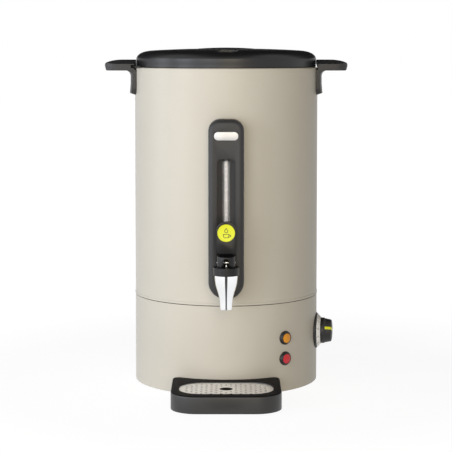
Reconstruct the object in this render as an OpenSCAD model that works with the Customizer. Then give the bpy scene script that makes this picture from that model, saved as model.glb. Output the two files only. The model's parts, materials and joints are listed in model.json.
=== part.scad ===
// Twist-lid hot water urn with a lever tap, sight gauge, thermostat and drip tray.
// Millimetres, +Z up. The front, with the tap, faces -Y. The origin lies on the
// axis of the tank, in the plane that the feet stand on.

/* [Shell] */
// Outer diameter of the painted shell
body_d = 266; // [256:1:276]
// Wall thickness of the painted sheet
shell_t = 1.2; // [1:0.1:1.6]
// Height of the top rim of the shell above the table
rim_z = 457.5; // [450:1:480]
// Height of the seam between the base and the upper shell
seam_z = 127.5; // [124:0.5:131]
// Width of the seam
seam_gap = 1; // [0.8:0.1:1.4]
// Height of the base shell's lower edge above the table
base_z = 1.5; // [1:0.5:3]
// Radial width of the lip that is turned in at the top rim
rim_lip = 7; // [5:0.5:8]
// Amount by which the rolled hem of the upper shell stands proud
hem = 0.5; // [0.3:0.1:0.8]

/* [Tank] */
// Inner diameter of the water tank
tank_d = 236; // [228:1:240]
// Wall thickness of the tank
tank_t = 1; // [0.8:0.1:1.4]
// Height of the tank floor above the table
tank_floor = 160; // [158:1:164]
// Radius between the floor and the wall of the tank
tank_corner = 12; // [8:1:16]
// Outer diameter of the flange at the top of the tank
tank_flange_d = 253.4; // [252:0.2:254]

/* [Base and heater] */
// Height of the feet
foot_h = 7; // [6:0.5:8]
// Diameter of a foot
foot_d = 22; // [18:1:26]
// Radius of the circle that the feet stand on
foot_circle = 104; // [98:1:107]
// Thickness of the base plate
base_plate_t = 1.2; // [1:0.1:1.6]
// Diameter of the aluminium heater plate
heater_d = 140; // [130:1:150]
// Thickness of the heater plate
heater_t = 6; // [5:0.5:8]
// Mean diameter of the heating element's loop
element_loop_d = 100; // [90:1:110]
// Diameter of the element's sheath
element_d = 8; // [6:0.5:9]
// Diameter of the posts that tie the base plate to the tank
post_d = 8; // [7:0.5:10]
// Radius of the circle that the posts stand on
post_circle = 96; // [92:1:99]

/* [Controls] */
// Direction of the thermostat knob, in degrees from the front
knob_az = 82.5; // [78:0.5:90]
// Height of the knob's axis
knob_z = 73; // [68:0.5:76]
// Diameter of the dial bezel
bezel_d = 53; // [50:1:56]
// Distance from the shell to the face of the dial bezel
bezel_h = 2; // [1.6:0.2:3]
// Height of the dial cone
dial_h = 5; // [4:0.5:6]
// Diameter of the knob's flange
knob_flange_d = 37.4; // [35:0.2:39]
// Thickness of the knob's flange
knob_flange_t = 4.4; // [4:0.2:5.4]
// Diameter of the knob's grip where it meets the flange
grip_d = 35.2; // [32:0.2:36]
// Height of the knob's grip
grip_h = 12.2; // [11:0.2:14]
// Diameter of the thermostat's shaft
shaft_d = 6; // [5:0.5:7]
// Direction of the indicator lamps, in degrees from the front
lamp_az = 38.5; // [34:0.5:44]
// Height of the lower lamp
lamp_z = 48.5; // [45:0.5:52]
// Distance between the two lamps
lamp_pitch = 29.3; // [26:0.1:32]
// Diameter of a lamp bezel
lamp_d = 19.6; // [18:0.2:21]
// Diameter of a lamp's lens
lens_d = 13.4; // [12:0.2:15]

/* [Tower and gauge] */
// Width of the tower housing
tower_w = 49; // [46:1:54]
// Height of the tower's lower end
tower_z0 = 140; // [136:1:144]
// Height of the tower's upper end
tower_z1 = 388; // [380:1:400]
// Distance from the shell to the front of the tower
tower_depth = 24; // [21:1:28]
// Radius of the tower's upper corners
tower_r = 16.4; // [12:0.2:20]
// Radius of the tower's front edge
tower_edge = 6.5; // [2:0.5:8]
// Width of the groove that shows the gauge tube
groove_w = 26; // [24:0.5:28]
// Height of the upper end of the groove
groove_z1 = 334; // [325:1:345]
// Depth of the groove
groove_depth = 15; // [14:0.5:16]
// Outer diameter of the glass gauge tube
tube_d = 10; // [9:0.2:11]
// Wall thickness of the glass tube
tube_t = 1.5; // [1:0.1:2]
// Width of the level strip behind the tube
strip_w = 7.6; // [5:0.2:9]
// Width of the name plate
plate_w = 33.4; // [30:0.2:36]
// Height of the name plate
plate_h = 11.6; // [10:0.2:13]
// Height of the name plate's centre above the table
plate_z = 365.4; // [363:0.2:367]

/* [Tap] */
// Distance from the shell to the axis of the spout
tap_reach = 55; // [52:0.5:60]
// Height of the tap's shank above the table
shank_z = 185.2; // [183:0.2:187]
// Diameter of the threaded shank
shank_d = 20; // [18:0.5:22]
// Bore of the shank
shank_bore = 9; // [8:0.5:9.5]
// Outer diameter of the tap collar
collar_d = 35.6; // [34:0.2:38]
// Height of the tap collar
collar_h = 10.6; // [9.6:0.2:12]
// Diameter of the spout at its top
spout_top_d = 31.8; // [31:0.2:33]
// Diameter of the spout at its tip
spout_tip_d = 16.4; // [15.6:0.2:18]
// Length of the spout
spout_len = 47; // [42:0.5:50]
// Diameter of the lever's hood
hood_d = 24.6; // [23.4:0.2:26]
// Width of the lever's paddle
paddle_w = 26.6; // [25:0.2:28]
// Height of the paddle's upper end above the table
paddle_z1 = 253.2; // [248:0.2:258]
// Diameter of the valve stem
stem_d = 4; // [3.4:0.2:4.6]
// Diameter of the coloured badge on the lever
badge_d = 23.8; // [22:0.1:24.5]

/* [Handles] */
// Distance from the shell to the tip of a handle
grip_reach = 42.6; // [38:0.2:50]
// Width of a handle across the hand
handle_w = 68; // [64:1:72]
// Height of a handle's underside above the table
grip_z0 = 453; // [449:0.5:454]
// Height of a handle's crown above its underside
grip_t = 15.6; // [15:0.2:18]
// Thickness of the handle's leg on the shell
leg_t = 6.2; // [5.6:0.2:8]
// Height of the handle's leg below its underside
leg_h = 35; // [32:1:42]
// Radius between the leg and the underside of the grip
grip_fillet = 8; // [6:0.5:10]

/* [Lid] */
// Outer diameter of the lid's skirt
lid_d = 260; // [258:0.5:262]
// Height of the lid from its edge to its crown
lid_h = 27; // [25:0.5:32]
// Wall thickness of the lid
lid_t = 2.6; // [2:0.2:3]
// Diameter of the scooped grip in the lid
scoop_d = 80; // [72:1:84]
// Depth of the scooped grip
scoop_depth = 13; // [11:0.5:13]
// Width of the bar across the scoop
bar_w = 24; // [20:1:28]
// Width of the steam vent
vent_w = 37; // [32:0.5:40]
// Depth of the steam vent, front to back
vent_h = 24; // [18:0.5:24]
// Angle that each locking tab covers
tab_angle = 8; // [6:0.5:9]
// Thickness of a locking tab
tab_t = 2.2; // [1.8:0.1:2.4]
// Angle by which the lid turns to lock
lock_turn = 18; // [14:1:19]

/* [Drip tray] */
// Width of the drip tray
tray_w = 150; // [142:1:156]
// Distance from the shell to the front of the tray
tray_depth = 109; // [104:1:116]
// Height of the drip tray
tray_h = 24.6; // [21:0.2:26]
// Wall thickness of the tray
tray_t = 2.4; // [2:0.2:3]
// Radius of the tray's front corners
tray_r = 36; // [30:1:40]
// Width of the perforated grid
grid_w = 128; // [120:1:132]
// Depth of the perforated grid, front to back
grid_h = 73; // [70:1:80]
// Radius of the grid's corners
grid_r = 30; // [24:1:34]
// Thickness of the grid
grid_t = 1; // [0.8:0.1:1.4]
// Diameter of the grid's small holes
hole_d = 3.3; // [2.6:0.1:3.8]
// Distance between columns of holes
hole_pitch = 6.7; // [6.2:0.1:8]
// Distance between the holes of one column
hole_row = 12; // [11:0.5:14]
// Diameter of the drain hole under the spout
drain_d = 18; // [14:0.5:20]

/* [Hidden] */

$fn = 96;
eps = 0.01;              // overlap of cutting tools past the face that they cut
seat = 0.1;              // clearance between pieces that are seated on each other
gap = 0.3;               // clearance between pieces that move past each other
fit = 0.05;              // radial clearance of a shaft that turns in its bore
arc_n = 6;               // straight pieces in a quarter of a rounded edge

body_r = body_d / 2;
shell_in = body_r - shell_t;
upper_z = seam_z + seam_gap / 2;
lower_z = seam_z - seam_gap / 2;
tank_r = tank_d / 2;
flange_z = rim_z + tank_t;       // top of the tank's flange, where the lid's seal rests

// ---------------------------------------------------------------- helpers

// Places a piece on the shell: x runs round it, y runs up and z points outwards
module facing(az, z) {
    rotate([0, 0, az]) translate([0, 0, z]) rotate([90, 0, 0]) children();
}

module tube(d, bore, h) {
    difference() {
        cylinder(d = d, h = h);
        translate([0, 0, -eps]) cylinder(d = bore, h = h + 2 * eps);
    }
}

// A straight round rod from point p to point q
module rod(p, q, d) {
    v = q - p;
    len = norm(v);
    translate(p)
        rotate([0, acos(v.z / len), atan2(v.y, v.x)])
            cylinder(d = d, h = len, $fn = 24);
}

// A wire or thin pipe along a row of points; its straight pieces cross a little at each bend
module wire(points, d) {
    for (i = [0 : len(points) - 2])
        let (p = points[i], q = points[i + 1], v = (q - p) / norm(q - p) * d / 3)
            rod(i > 0 ? p - v : p, i < len(points) - 2 ? q + v : q, d);
}

// Points of an arc round centre c
function arc(c, r, a0, a1, n = arc_n) =
    [for (i = [0 : n]) let (a = a0 + (a1 - a0) * i / n) [c.x + r * cos(a), c.y + r * sin(a)]];

// Points of a cubic curve with the control points a, b, c and d
function bezier(a, b, c, d, n = 10) =
    [for (i = [0 : n]) let (t = i / n, s = 1 - t)
        s * s * s * a + 3 * s * s * t * b + 3 * s * t * t * c + t * t * t * d];

// Outline of a rectangle with round corners, about its centre
function round_rect(w, h, r, n = arc_n) = concat(
    arc([w / 2 - r, h / 2 - r], r, 0, 90, n), arc([r - w / 2, h / 2 - r], r, 90, 180, n),
    arc([r - w / 2, r - h / 2], r, 180, 270, n), arc([w / 2 - r, r - h / 2], r, 270, 360, n));

module plate2(w, h, r, t) {
    linear_extrude(t) polygon(round_rect(w, h, r));
}

// A sector of a flat ring, from angle a0 to a1 about +Z
module ring_sector(r0, r1, h, a0, a1) {
    rotate([0, 0, a0]) rotate_extrude(angle = a1 - a0) translate([r0, 0]) square([r1 - r0, h]);
}

// A coil spring of round wire, standing on z = 0
module coil(r, wire_d, height, turns, per_turn = 20, sides = 8) {
    steps = turns * per_turn;
    lead = height - wire_d;
    points = [for (i = [0 : steps]) let (a = 360 * i / per_turn, z = wire_d / 2 + lead * i / steps)
        for (k = [0 : sides - 1]) let (b = 360 * k / sides, q = r + wire_d / 2 * cos(b))
            [q * cos(a), q * sin(a), z + wire_d / 2 * sin(b)]];
    sides_of = [for (i = [0 : steps - 1]) for (k = [0 : sides - 1]) let (m = (k + 1) % sides)
        [i * sides + k, i * sides + m, (i + 1) * sides + m, (i + 1) * sides + k]];
    ends = [[for (k = [sides - 1 : -1 : 0]) k], [for (k = [0 : sides - 1]) steps * sides + k]];
    polyhedron(points, concat(sides_of, ends), convexity = 10);
}

// ---------------------------------------------------------------- shell and tank

handle_screw_angle = 8;          // azimuth of a handle's screws from the handle's middle
handle_screw_z = grip_z0 - 17;
handle_screw_d = 4;
tower_screw_d = 4;
tower_screw_z = [tower_z0 + 13, plate_z - 16];
rim_r = 2;                       // outer radius of the rolled rim
hem_h = 3;                       // height of the rolled hem

cut = 10;                        // reach of a cutting tool on each side of the wall that it cuts

module wall_holes(az, z, d) {
    facing(az, z) translate([0, 0, shell_in - cut]) cylinder(d = d, h = 2 * cut);
}

module body_shell() {
    color("#cbc6b8") difference() {
        rotate_extrude($fn = 192) polygon(concat(
            [[shell_in, upper_z], [body_r + hem, upper_z], [body_r + hem, upper_z + hem_h],
             [body_r, upper_z + hem_h + hem]],
            arc([body_r - rim_r, rim_z - rim_r], rim_r, 0, 90),
            [[body_r - rim_lip, rim_z], [body_r - rim_lip, rim_z - shell_t],
             [shell_in, rim_z - shell_t]]));
        wall_holes(0, shank_z, shank_d + 2 * gap);
        for (z = tower_screw_z) wall_holes(0, z, tower_screw_d + 2 * seat);
        for (side = [90, 270], a = [-1, 1])
            wall_holes(side + a * handle_screw_angle, handle_screw_z, handle_screw_d + 2 * seat);
    }
}

shelf_z = foot_h + base_plate_t;         // underside of the shelf that the base plate meets
shelf_in = foot_circle + foot_d / 2 + 5;
inlet_z = 40;
inlet_body = [27, 19.5];
inlet_flange = [50, 28];
inlet_screw_x = 20;
inlet_screw_d = 3.4;
lug_w = 9;
lug_h = 3;
lug_x = 32;
lug_z = 9;
lug_len = 4;
bezel_neck_d = 30;
lamp_neck_d = lens_d - 2.4;

module base_shell() {
    color("#cbc6b8") difference() {
        union() {
            rotate_extrude($fn = 192) polygon([
                [shell_in, base_z], [body_r - shell_t / 2, base_z], [body_r, base_z + shell_t / 2],
                [body_r, lower_z], [shell_in, lower_z]]);
            translate([0, 0, shelf_z]) tube(2 * shell_in + shell_t, 2 * shelf_in, shell_t);
        }
        wall_holes(knob_az, knob_z, bezel_neck_d + 2 * seat);
        for (i = [0, 1]) wall_holes(lamp_az, lamp_z + i * lamp_pitch, lamp_neck_d + 2 * seat);
        facing(180, inlet_z) translate([-inlet_body.x / 2 - seat, -inlet_body.y / 2 - seat,
            shell_in - cut]) cube([inlet_body.x + 2 * seat, inlet_body.y + 2 * seat, 2 * cut]);
        for (x = [-inlet_screw_x, inlet_screw_x]) facing(180, inlet_z)
            translate([x, 0, shell_in - cut]) cylinder(d = inlet_screw_d + 2 * seat, h = 2 * cut);
        for (x = [-lug_x, lug_x])
            translate([x - lug_w / 2 - gap, -body_r - cut, lug_z - gap])
                cube([lug_w + 2 * gap, body_r - shelf_in + cut, lug_h + 2 * gap]);
    }
}

ring_t = 2.2;
ring_skirt = 8;
ring_inset = 0.6;                        // depth of the seam's groove

module seam_ring() {
    color("#2b2b2b") rotate_extrude($fn = 192) polygon([
        [shell_in - ring_t, lower_z - ring_skirt], [shell_in - seat, lower_z - ring_skirt],
        [shell_in - seat, lower_z], [body_r - ring_inset, lower_z], [body_r - ring_inset, upper_z],
        [shell_in - seat, upper_z], [shell_in - seat, upper_z + ring_skirt],
        [shell_in - ring_t, upper_z + ring_skirt]]);
}

module tank() {
    inner = tank_r;
    outer = tank_r + tank_t;
    under = tank_floor - tank_t;
    color("#d8d8d8") difference() {
        rotate_extrude($fn = 192) polygon(concat(
            [[0, under]], arc([outer - tank_corner - tank_t, under + tank_corner + tank_t],
                tank_corner + tank_t, -90, 0),
            [[outer, rim_z], [tank_flange_d / 2, rim_z], [tank_flange_d / 2, flange_z],
             [inner, flange_z]],
            arc([inner - tank_corner, tank_floor + tank_corner], tank_corner, 0, -90),
            [[0, tank_floor]]));
        facing(0, shank_z) translate([0, 0, inner - cut]) cylinder(d = shank_d + 2 * seat, h = 2 * cut);
    }
}

// ---------------------------------------------------------------- base and heater

base_screw_d = 4;
base_screw_len = 12;
foot_neck = 8;
foot_angles = [45, 135, 225, 315];
foot_bevel = 2;
foot_barb = 3;                           // height of the barb that holds a foot in the plate
post_angles = [0, 120, 240];
tank_under = tank_floor - tank_t;
vent_slots = 24;
vent_slot = [24, 4];                     // length and width of a slot in the base plate
vent_slot_r = 45;                        // radius at which the slots start
screw_head_d = 8;
screw_head_h = 2.4;
cross_w = 1;                             // width of the cross recess in a screw's head
cross_h = 1.4;

module tank_posts() {
    color("#b9bbbd") for (a = post_angles) rotate([0, 0, a - 90]) translate([post_circle, 0, 0])
        difference() {
            translate([0, 0, shelf_z]) cylinder(d = post_d, h = tank_under - shelf_z);
            translate([0, 0, shelf_z - eps]) cylinder(d = base_screw_d, h = base_screw_len);
        }
}

module base_plate() {
    color("#9fa2a4") difference() {
        translate([0, 0, foot_h]) cylinder(r = shell_in - gap, h = base_plate_t, $fn = 192);
        for (a = foot_angles) rotate([0, 0, a]) translate([foot_circle, 0, foot_h - 1])
            cylinder(d = foot_neck + 2 * fit, h = base_plate_t + 2);
        for (a = post_angles) rotate([0, 0, a - 90]) translate([post_circle, 0, foot_h - 1])
            cylinder(d = base_screw_d, h = base_plate_t + 2);
        for (i = [0 : vent_slots - 1]) rotate([0, 0, 360 * i / vent_slots])
            translate([vent_slot_r, -vent_slot.y / 2, foot_h - 1])
                cube([vent_slot.x, vent_slot.y, base_plate_t + 2]);
    }
}

module base_screws() {
    color("#8d9093") for (a = post_angles) rotate([0, 0, a - 90]) translate([post_circle, 0, 0]) {
        difference() {
            translate([0, 0, foot_h - screw_head_h]) cylinder(d = screw_head_d, h = screw_head_h);
            translate([0, 0, foot_h - screw_head_h - eps]) for (t = [0, 90]) rotate([0, 0, t])
                translate([-0.3 * screw_head_d, -cross_w / 2, 0])
                    cube([0.6 * screw_head_d, cross_w, cross_h]);
        }
        translate([0, 0, foot_h]) cylinder(d = base_screw_d, h = base_screw_len);
    }
}

module feet() {
    color("#202020") for (a = foot_angles) rotate([0, 0, a]) translate([foot_circle, 0, 0]) {
        cylinder(d1 = foot_d - foot_bevel, d2 = foot_d, h = foot_bevel);
        translate([0, 0, foot_bevel]) cylinder(d = foot_d, h = foot_h - foot_bevel);
        cylinder(d = foot_neck, h = foot_h + base_plate_t + 1);
        translate([0, 0, foot_h + base_plate_t])
            cylinder(d1 = foot_neck + foot_barb, d2 = foot_neck - 1, h = foot_barb);
    }
}

heater_z = tank_under - heater_t;
element_z = heater_z - element_d / 2;
element_span = 300;
cold_end = 16;
terminal_neck = 4;
terminal = [0.8, 6.2, 9];                // thickness, width and length of a flat terminal
blind_holes = 6;                         // threaded studs' holes in the heater plate
blind_d = 4;
blind_h = 2;

module heater_plate() {
    color("#c4c6c8") difference() {
        translate([0, 0, heater_z]) cylinder(d = heater_d, h = heater_t);
        for (i = [0 : blind_holes - 1]) rotate([0, 0, 360 * (i + 0.5) / blind_holes])
            translate([heater_d / 2 - 2 * blind_d, 0, heater_z - 1])
                cylinder(d = blind_d, h = blind_h + 1, $fn = 24);
    }
}

module flat_terminal() {
    translate([-terminal.x / 2, -terminal.y / 2, 0]) cube(terminal);
}

// The loop is open towards the back, where its two cold ends turn down
module heating_element() {
    color("#8f8a84") {
        rotate([0, 0, 90 + (360 - element_span) / 2]) rotate_extrude(angle = element_span, $fn = 96)
            translate([element_loop_d / 2, element_z]) circle(d = element_d, $fn = 32);
        for (s = [-1, 1]) rotate([0, 0, 90 + s * (360 - element_span) / 2])
            translate([element_loop_d / 2, 0, 0]) {
                translate([0, 0, element_z]) sphere(d = element_d, $fn = 32);
                translate([0, 0, element_z - cold_end]) cylinder(d = element_d, h = cold_end, $fn = 32);
                translate([0, 0, element_z - cold_end - terminal_neck])
                    cylinder(d = element_d - 2, h = terminal_neck, $fn = 32);
                translate([0, 0, element_z - cold_end - terminal_neck - terminal.z]) flat_terminal();
            }
    }
}

cutout_d = 16;
cutout_h = 10;
clip = [26, 8, 1.2];                     // bracket that clips the cut-out to the heater plate

module boil_dry_cutout() {
    color("#e8e2d2") translate([0, 0, heater_z - cutout_h]) {
        translate([0, 0, 2]) cylinder(d = cutout_d, h = cutout_h - 2);
        cylinder(d = cutout_d - 3, h = 3);
        for (s = [-1, 1]) translate([s * cutout_d / 4, 0, 1 - terminal.z]) flat_terminal();
        translate([-clip.x / 2, -clip.y / 2, cutout_h - clip.z]) cube(clip);
    }
}

// ---------------------------------------------------------------- thermostat and dial

stat_out = shell_in - 3;                 // outer face of the thermostat's body
stat_size = [34, 40, 22];
stat_tabs = [-10, 0, 10];                // positions of the thermostat's flat tabs
shaft_seat = 16;                         // depth of the shaft's inner end behind the body's face
bush_d = 12;
dial_face = body_r + bezel_h;            // radius of the bezel's face
bezel_fall = 3.8;                        // how much narrower the bezel and the cone start outside
knob_back = dial_face + dial_h + gap;
tab_len = 8;                             // length of the thermostat's flat tabs

module thermostat_body() {
    color("#d9cfae") facing(knob_az, knob_z) difference() {
        union() {
            translate([-stat_size.x / 2, -stat_size.y / 2, stat_out - stat_size.z])
                cube(stat_size);
            translate([0, 0, stat_out]) cylinder(d = bush_d, h = dial_face - stat_out);
            for (x = stat_tabs) translate([x - terminal.x / 2, -stat_size.y / 2 - tab_len,
                stat_out - shaft_seat]) cube([terminal.x, tab_len + 0.5, terminal.y]);
        }
        translate([0, 0, stat_out - shaft_seat]) cylinder(d = shaft_d + 2 * fit, h = 2 * stat_size.z);
    }
}

shaft_in = stat_out - shaft_seat + seat;
shaft_flat = 1.2;                        // depth of the flat at the shaft's outer end
shaft_flat_len = 9;
shaft_out = knob_back + knob_flange_t + grip_h - 3;

module thermostat_shaft() {
    color("#b5b7b9") facing(knob_az, knob_z) difference() {
        translate([0, 0, shaft_in]) cylinder(d = shaft_d, h = shaft_out - shaft_in);
        translate([-shaft_d / 2, shaft_d / 2 - shaft_flat, shaft_out - shaft_flat_len])
            cube([shaft_d, 2 * shaft_flat, shaft_flat_len + 1]);
    }
}

module dial_bezel() {
    color("#242424") difference() {
        facing(knob_az, knob_z) difference() {
            union() {
                translate([0, 0, stat_out]) cylinder(d = bezel_d, h = body_r - stat_out, $fn = 128);
                translate([0, 0, body_r])
                    cylinder(d1 = bezel_d, d2 = bezel_d - bezel_fall, h = bezel_h, $fn = 128);
                translate([0, 0, stat_out]) cylinder(d = bezel_neck_d, h = dial_face - stat_out - 1);
            }
            translate([0, 0, stat_out - 1]) cylinder(d = bush_d + 2 * seat, h = 20);
        }
        difference() {
            translate([0, 0, knob_z - bezel_d]) cylinder(r = body_r + eps, h = 2 * bezel_d, $fn = 192);
            facing(knob_az, knob_z) translate([0, 0, stat_out - 1]) cylinder(d = bezel_neck_d, h = 20);
        }
    }
}

module dial_ring() {
    color("#f1f1ee") facing(knob_az, knob_z) difference() {
        translate([0, 0, dial_face])
            cylinder(d1 = bezel_d - bezel_fall, d2 = knob_flange_d + 1.3, h = dial_h, $fn = 128);
        translate([0, 0, dial_face - 1]) cylinder(d = bush_d, h = dial_h + 2);
    }
}

grip_taper = 3.3;                        // how much narrower the grip is at its end
grip_step = 1.4;                         // height of the slope between the flange and the grip
pointer_w = 4;
pointer_tilt = 22;                       // how far the pointer stands above the horizontal
ribs = 30;
rib_d = 2;                               // diameter of the flutes between the grip's ribs
rib_start = 7;                           // direction of the first flute, off the ends of the revolve

// Points of the grip's rounded end, from its side to its middle at height z
function grip_end(z) = let (r = (grip_d - grip_taper) / 2)
    bezier([r, z - 2.4], [r - 0.3, z - 1], [r - 4, z - 0.4], [0, z], 6);

module knob_blank() {
    rotate_extrude($fn = 128) polygon(concat(
        [[0, 0], [knob_flange_d / 2, 0], [knob_flange_d / 2, knob_flange_t],
         [grip_d / 2, knob_flange_t + grip_step]], grip_end(knob_flange_t + grip_h)));
}

module control_knob() {
    color("#232323") facing(knob_az, knob_z) translate([0, 0, knob_back]) difference() {
        rotate([0, 0, -pointer_tilt]) difference() {
            knob_blank();
            for (i = [0 : ribs - 1]) let (a = 360 * i / ribs + rib_start)
                if (abs(a - 180) > 18) rotate([0, 0, a])
                    translate([grip_d / 2 + 0.2, 0, knob_flange_t + grip_step])
                        cylinder(d = rib_d, h = grip_h, $fn = 16);
            pointer_space(0);
        }
        translate([0, 0, -eps]) difference() {
            cylinder(d = shaft_d + 2 * fit, h = shaft_out - knob_back + seat);
            translate([-shaft_d / 2, shaft_d / 2 - shaft_flat + fit,
                shaft_out - knob_back - shaft_flat_len + seat])
                cube([shaft_d, 2 * shaft_flat, shaft_flat_len + 1]);
        }
    }
}

// The pointer lies in a slot along the side and over the end of the grip
module pointer_space(slack) {
    rotate([0, 0, 180])
        translate([6, -pointer_w / 2 + slack, knob_flange_t + grip_step + 0.4 + slack])
            cube([grip_d, pointer_w - 2 * slack, grip_h]);
}

module knob_pointer() {
    color("#e6ea10") facing(knob_az, knob_z) translate([0, 0, knob_back])
        rotate([0, 0, -pointer_tilt]) intersection() {
        pointer_space(0.02);
        rotate_extrude($fn = 128) polygon(concat([[0, knob_flange_t], [grip_d / 2 + 0.2, knob_flange_t]],
            grip_end(knob_flange_t + grip_h + 0.3)));
    }
}

// ---------------------------------------------------------------- indicator lamps

lamp_proud = 4.4;
lamp_rim = 1.4;                          // height of the bezel's straight rim
lens_seat = 2;                           // depth to which the lens sits in the bezel
lens_dome = 1.2;
lamp_wall = 1.1;                         // wall of the bezel round the lens
lamp_inner = body_r - 20;
lamp_tab = [0.8, 4.8, 8];

module both_lamps() {
    for (i = [0, 1]) facing(lamp_az, lamp_z + i * lamp_pitch) children();
}

module lamp_bezels() {
    color("#1d1d1d") difference() {
        both_lamps() difference() {
            union() {
                translate([0, 0, body_r - 4]) cylinder(d = lamp_d, h = 4 + lamp_rim);
                translate([0, 0, body_r + lamp_rim])
                    cylinder(d1 = lamp_d, d2 = lens_d + 2 * lamp_wall, h = lamp_proud - lamp_rim);
                translate([0, 0, lamp_inner + 6]) cylinder(d = lamp_neck_d, h = 16);
            }
            translate([0, 0, body_r + lamp_proud - lens_seat]) cylinder(d = lens_d, h = 2 * lens_seat);
            translate([0, 0, lamp_inner]) cylinder(d = lamp_neck_d - 2.4, h = 40);
        }
        difference() {
            cylinder(r = body_r + eps, h = seam_z, $fn = 192);
            both_lamps() cylinder(d = lamp_neck_d, h = body_r + 2);
        }
    }
}

module lens() {
    dome_r = (lens_d * lens_d / 4 + lens_dome * lens_dome) / (2 * lens_dome);
    translate([0, 0, body_r + lamp_proud - lens_seat]) {
        cylinder(d = lens_d - 2 * seat, h = lens_seat);
        translate([0, 0, lens_seat]) intersection() {
            translate([0, 0, lens_dome - dome_r]) sphere(r = dome_r, $fn = 96);
            cylinder(d = lens_d - 2 * seat, h = lens_dome + 1);
        }
    }
}

module amber_lens() {
    color("#e09a20") facing(lamp_az, lamp_z + lamp_pitch) lens();
}

module red_lens() {
    color("#d8404a") facing(lamp_az, lamp_z) lens();
}

module lamp_bodies() {
    color("#e9e6dc") both_lamps() {
        translate([0, 0, lamp_inner]) cylinder(d = lamp_neck_d - 2.6, h = 16);
        for (x = [-2.5, 2.5]) translate([x - lamp_tab.x / 2, -lamp_tab.y / 2, lamp_inner - lamp_tab.z + 1])
            cube(lamp_tab);
    }
}

module lamp_nuts() {
    color("#a9abad") both_lamps() translate([0, 0, shell_in - 3.2]) difference() {
        cylinder(d = lamp_neck_d + 6, h = 2.4);
        translate([0, 0, -1]) cylinder(d = lamp_neck_d, h = 5);
    }
}

// ---------------------------------------------------------------- power inlet and wiring

pin_tips = body_r - 3;
inlet_front = body_r + 3;
inlet_back = body_r - 19;
socket = [23.4, 15.4, 15];
pin_size = [4, 2];
pin_spots = [[-7, 0], [7, 0], [0, 3]];
pin_tail = 7;                            // length of a pin behind the inlet

module power_inlet() {
    color("#1f1f1f") difference() {
        facing(180, inlet_z) difference() {
            union() {
                translate([0, 0, shell_in]) plate2(inlet_flange.x, inlet_flange.y, 5,
                    inlet_front - shell_in);
                translate([-inlet_body.x / 2, -inlet_body.y / 2, inlet_back])
                    cube([inlet_body.x, inlet_body.y, inlet_front - inlet_back - 1]);
            }
            translate([0, 0, inlet_front - socket.z]) plate2(socket.x, socket.y, 3, socket.z + 1);
            for (x = [-inlet_screw_x, inlet_screw_x]) translate([x, 0, shell_in - 5])
                cylinder(d = inlet_screw_d, h = 20, $fn = 24);
            for (p = pin_spots) translate([p.x - pin_size.x / 2, p.y - pin_size.y / 2, inlet_back - 1])
                cube([pin_size.x, pin_size.y, socket.z]);
        }
        difference() {
            translate([0, 0, inlet_z - 30]) cylinder(r = body_r + eps, h = 60, $fn = 192);
            facing(180, inlet_z) translate([-inlet_body.x / 2, -inlet_body.y / 2, 0])
                cube([inlet_body.x, inlet_body.y, body_r + 10]);
        }
    }
}

module inlet_pins() {
    color("#c9b37a") facing(180, inlet_z) for (p = pin_spots)
        translate([p.x - pin_size.x / 2, p.y - pin_size.y / 2, inlet_back - pin_tail])
            cube([pin_size.x, pin_size.y, pin_tips - inlet_back + pin_tail]);
}

module inlet_screws() {
    color("#b9bbbd") facing(180, inlet_z) for (x = [-inlet_screw_x, inlet_screw_x]) translate([x, 0, 0]) {
        translate([0, 0, shell_in - 4])
            cylinder(d = inlet_screw_d, h = inlet_front - shell_in + 4, $fn = 24);
        translate([0, 0, inlet_front]) difference() {
            cylinder(d1 = 6.4, d2 = 5, h = 1.6, $fn = 32);
            for (t = [0, 90]) rotate([0, 0, t]) translate([-1.8, -0.4, 0.8]) cube([3.6, 0.8, 1]);
        }
    }
}

block_size = [40, 18, 14];
block_y = 62;
block_pitch = 13;                        // distance between the block's ways

module terminal_block() {
    color("#efece2") translate([0, block_y, shelf_z]) difference() {
        translate([-block_size.x / 2, -block_size.y / 2, 0]) cube(block_size);
        for (x = [-block_pitch, 0, block_pitch]) {
            translate([x, 0, 5]) cylinder(d = 5, h = block_size.z, $fn = 24);
            translate([x - 2.6, -block_size.y, 4]) cube([5.2, 2 * block_size.y, 5]);
        }
    }
}

wire_d = 2.6;
lead_end = 0.3;                          // gap between a lead's end and the terminal it serves
level_drop = wire_d / 2 + 0.2;           // drop of a nearly level lead's end below its tab
steep_drop = 3.9;                        // drop of the sloping lead's end below its tab

// Leads from the inlet to the block, on to the thermostat and up to the heating element
module wiring() {
    wz = shelf_z + 6.5;
    back = block_y + block_size.y / 2 - 0.8;
    front = block_y - block_size.y / 2 - 0.4 - wire_d / 2;
    tail = body_r - 27;
    stat = [sin(knob_az), -cos(knob_az)] * (stat_out - 13);
    side = [cos(knob_az), sin(knob_az)] * 10;
    tab_z0 = knob_z - stat_size.y / 2 - tab_len;
    el_a = (360 - element_span) / 2;
    el = [sin(el_a), cos(el_a)] * element_loop_d / 2;
    el_z = element_z - cold_end - terminal_neck - terminal.z - lead_end;
    color("#7a4a30") {
        for (s = [-1, 1]) rod([s * 7, tail, inlet_z], [s * block_pitch, back, wz], wire_d);
        rod([-block_pitch, front, wz], [-el.x, el.y, el_z], wire_d);
        rod([block_pitch, front, wz], [stat.x + side.x, stat.y + side.y, tab_z0 - level_drop], wire_d);
        rod([stat.x - side.x, stat.y - side.y, tab_z0 - steep_drop], [el.x, el.y, el_z - 1.1], wire_d);
    }
    color("#5b8a3a") rod([0, tail, inlet_z + 3], [0, back, wz], wire_d);
}

bulb_d = 6;
bulb_x = 88;
bulb_y0 = -36;
bulb_len = 60;
pipe_d = 1.8;

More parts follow.
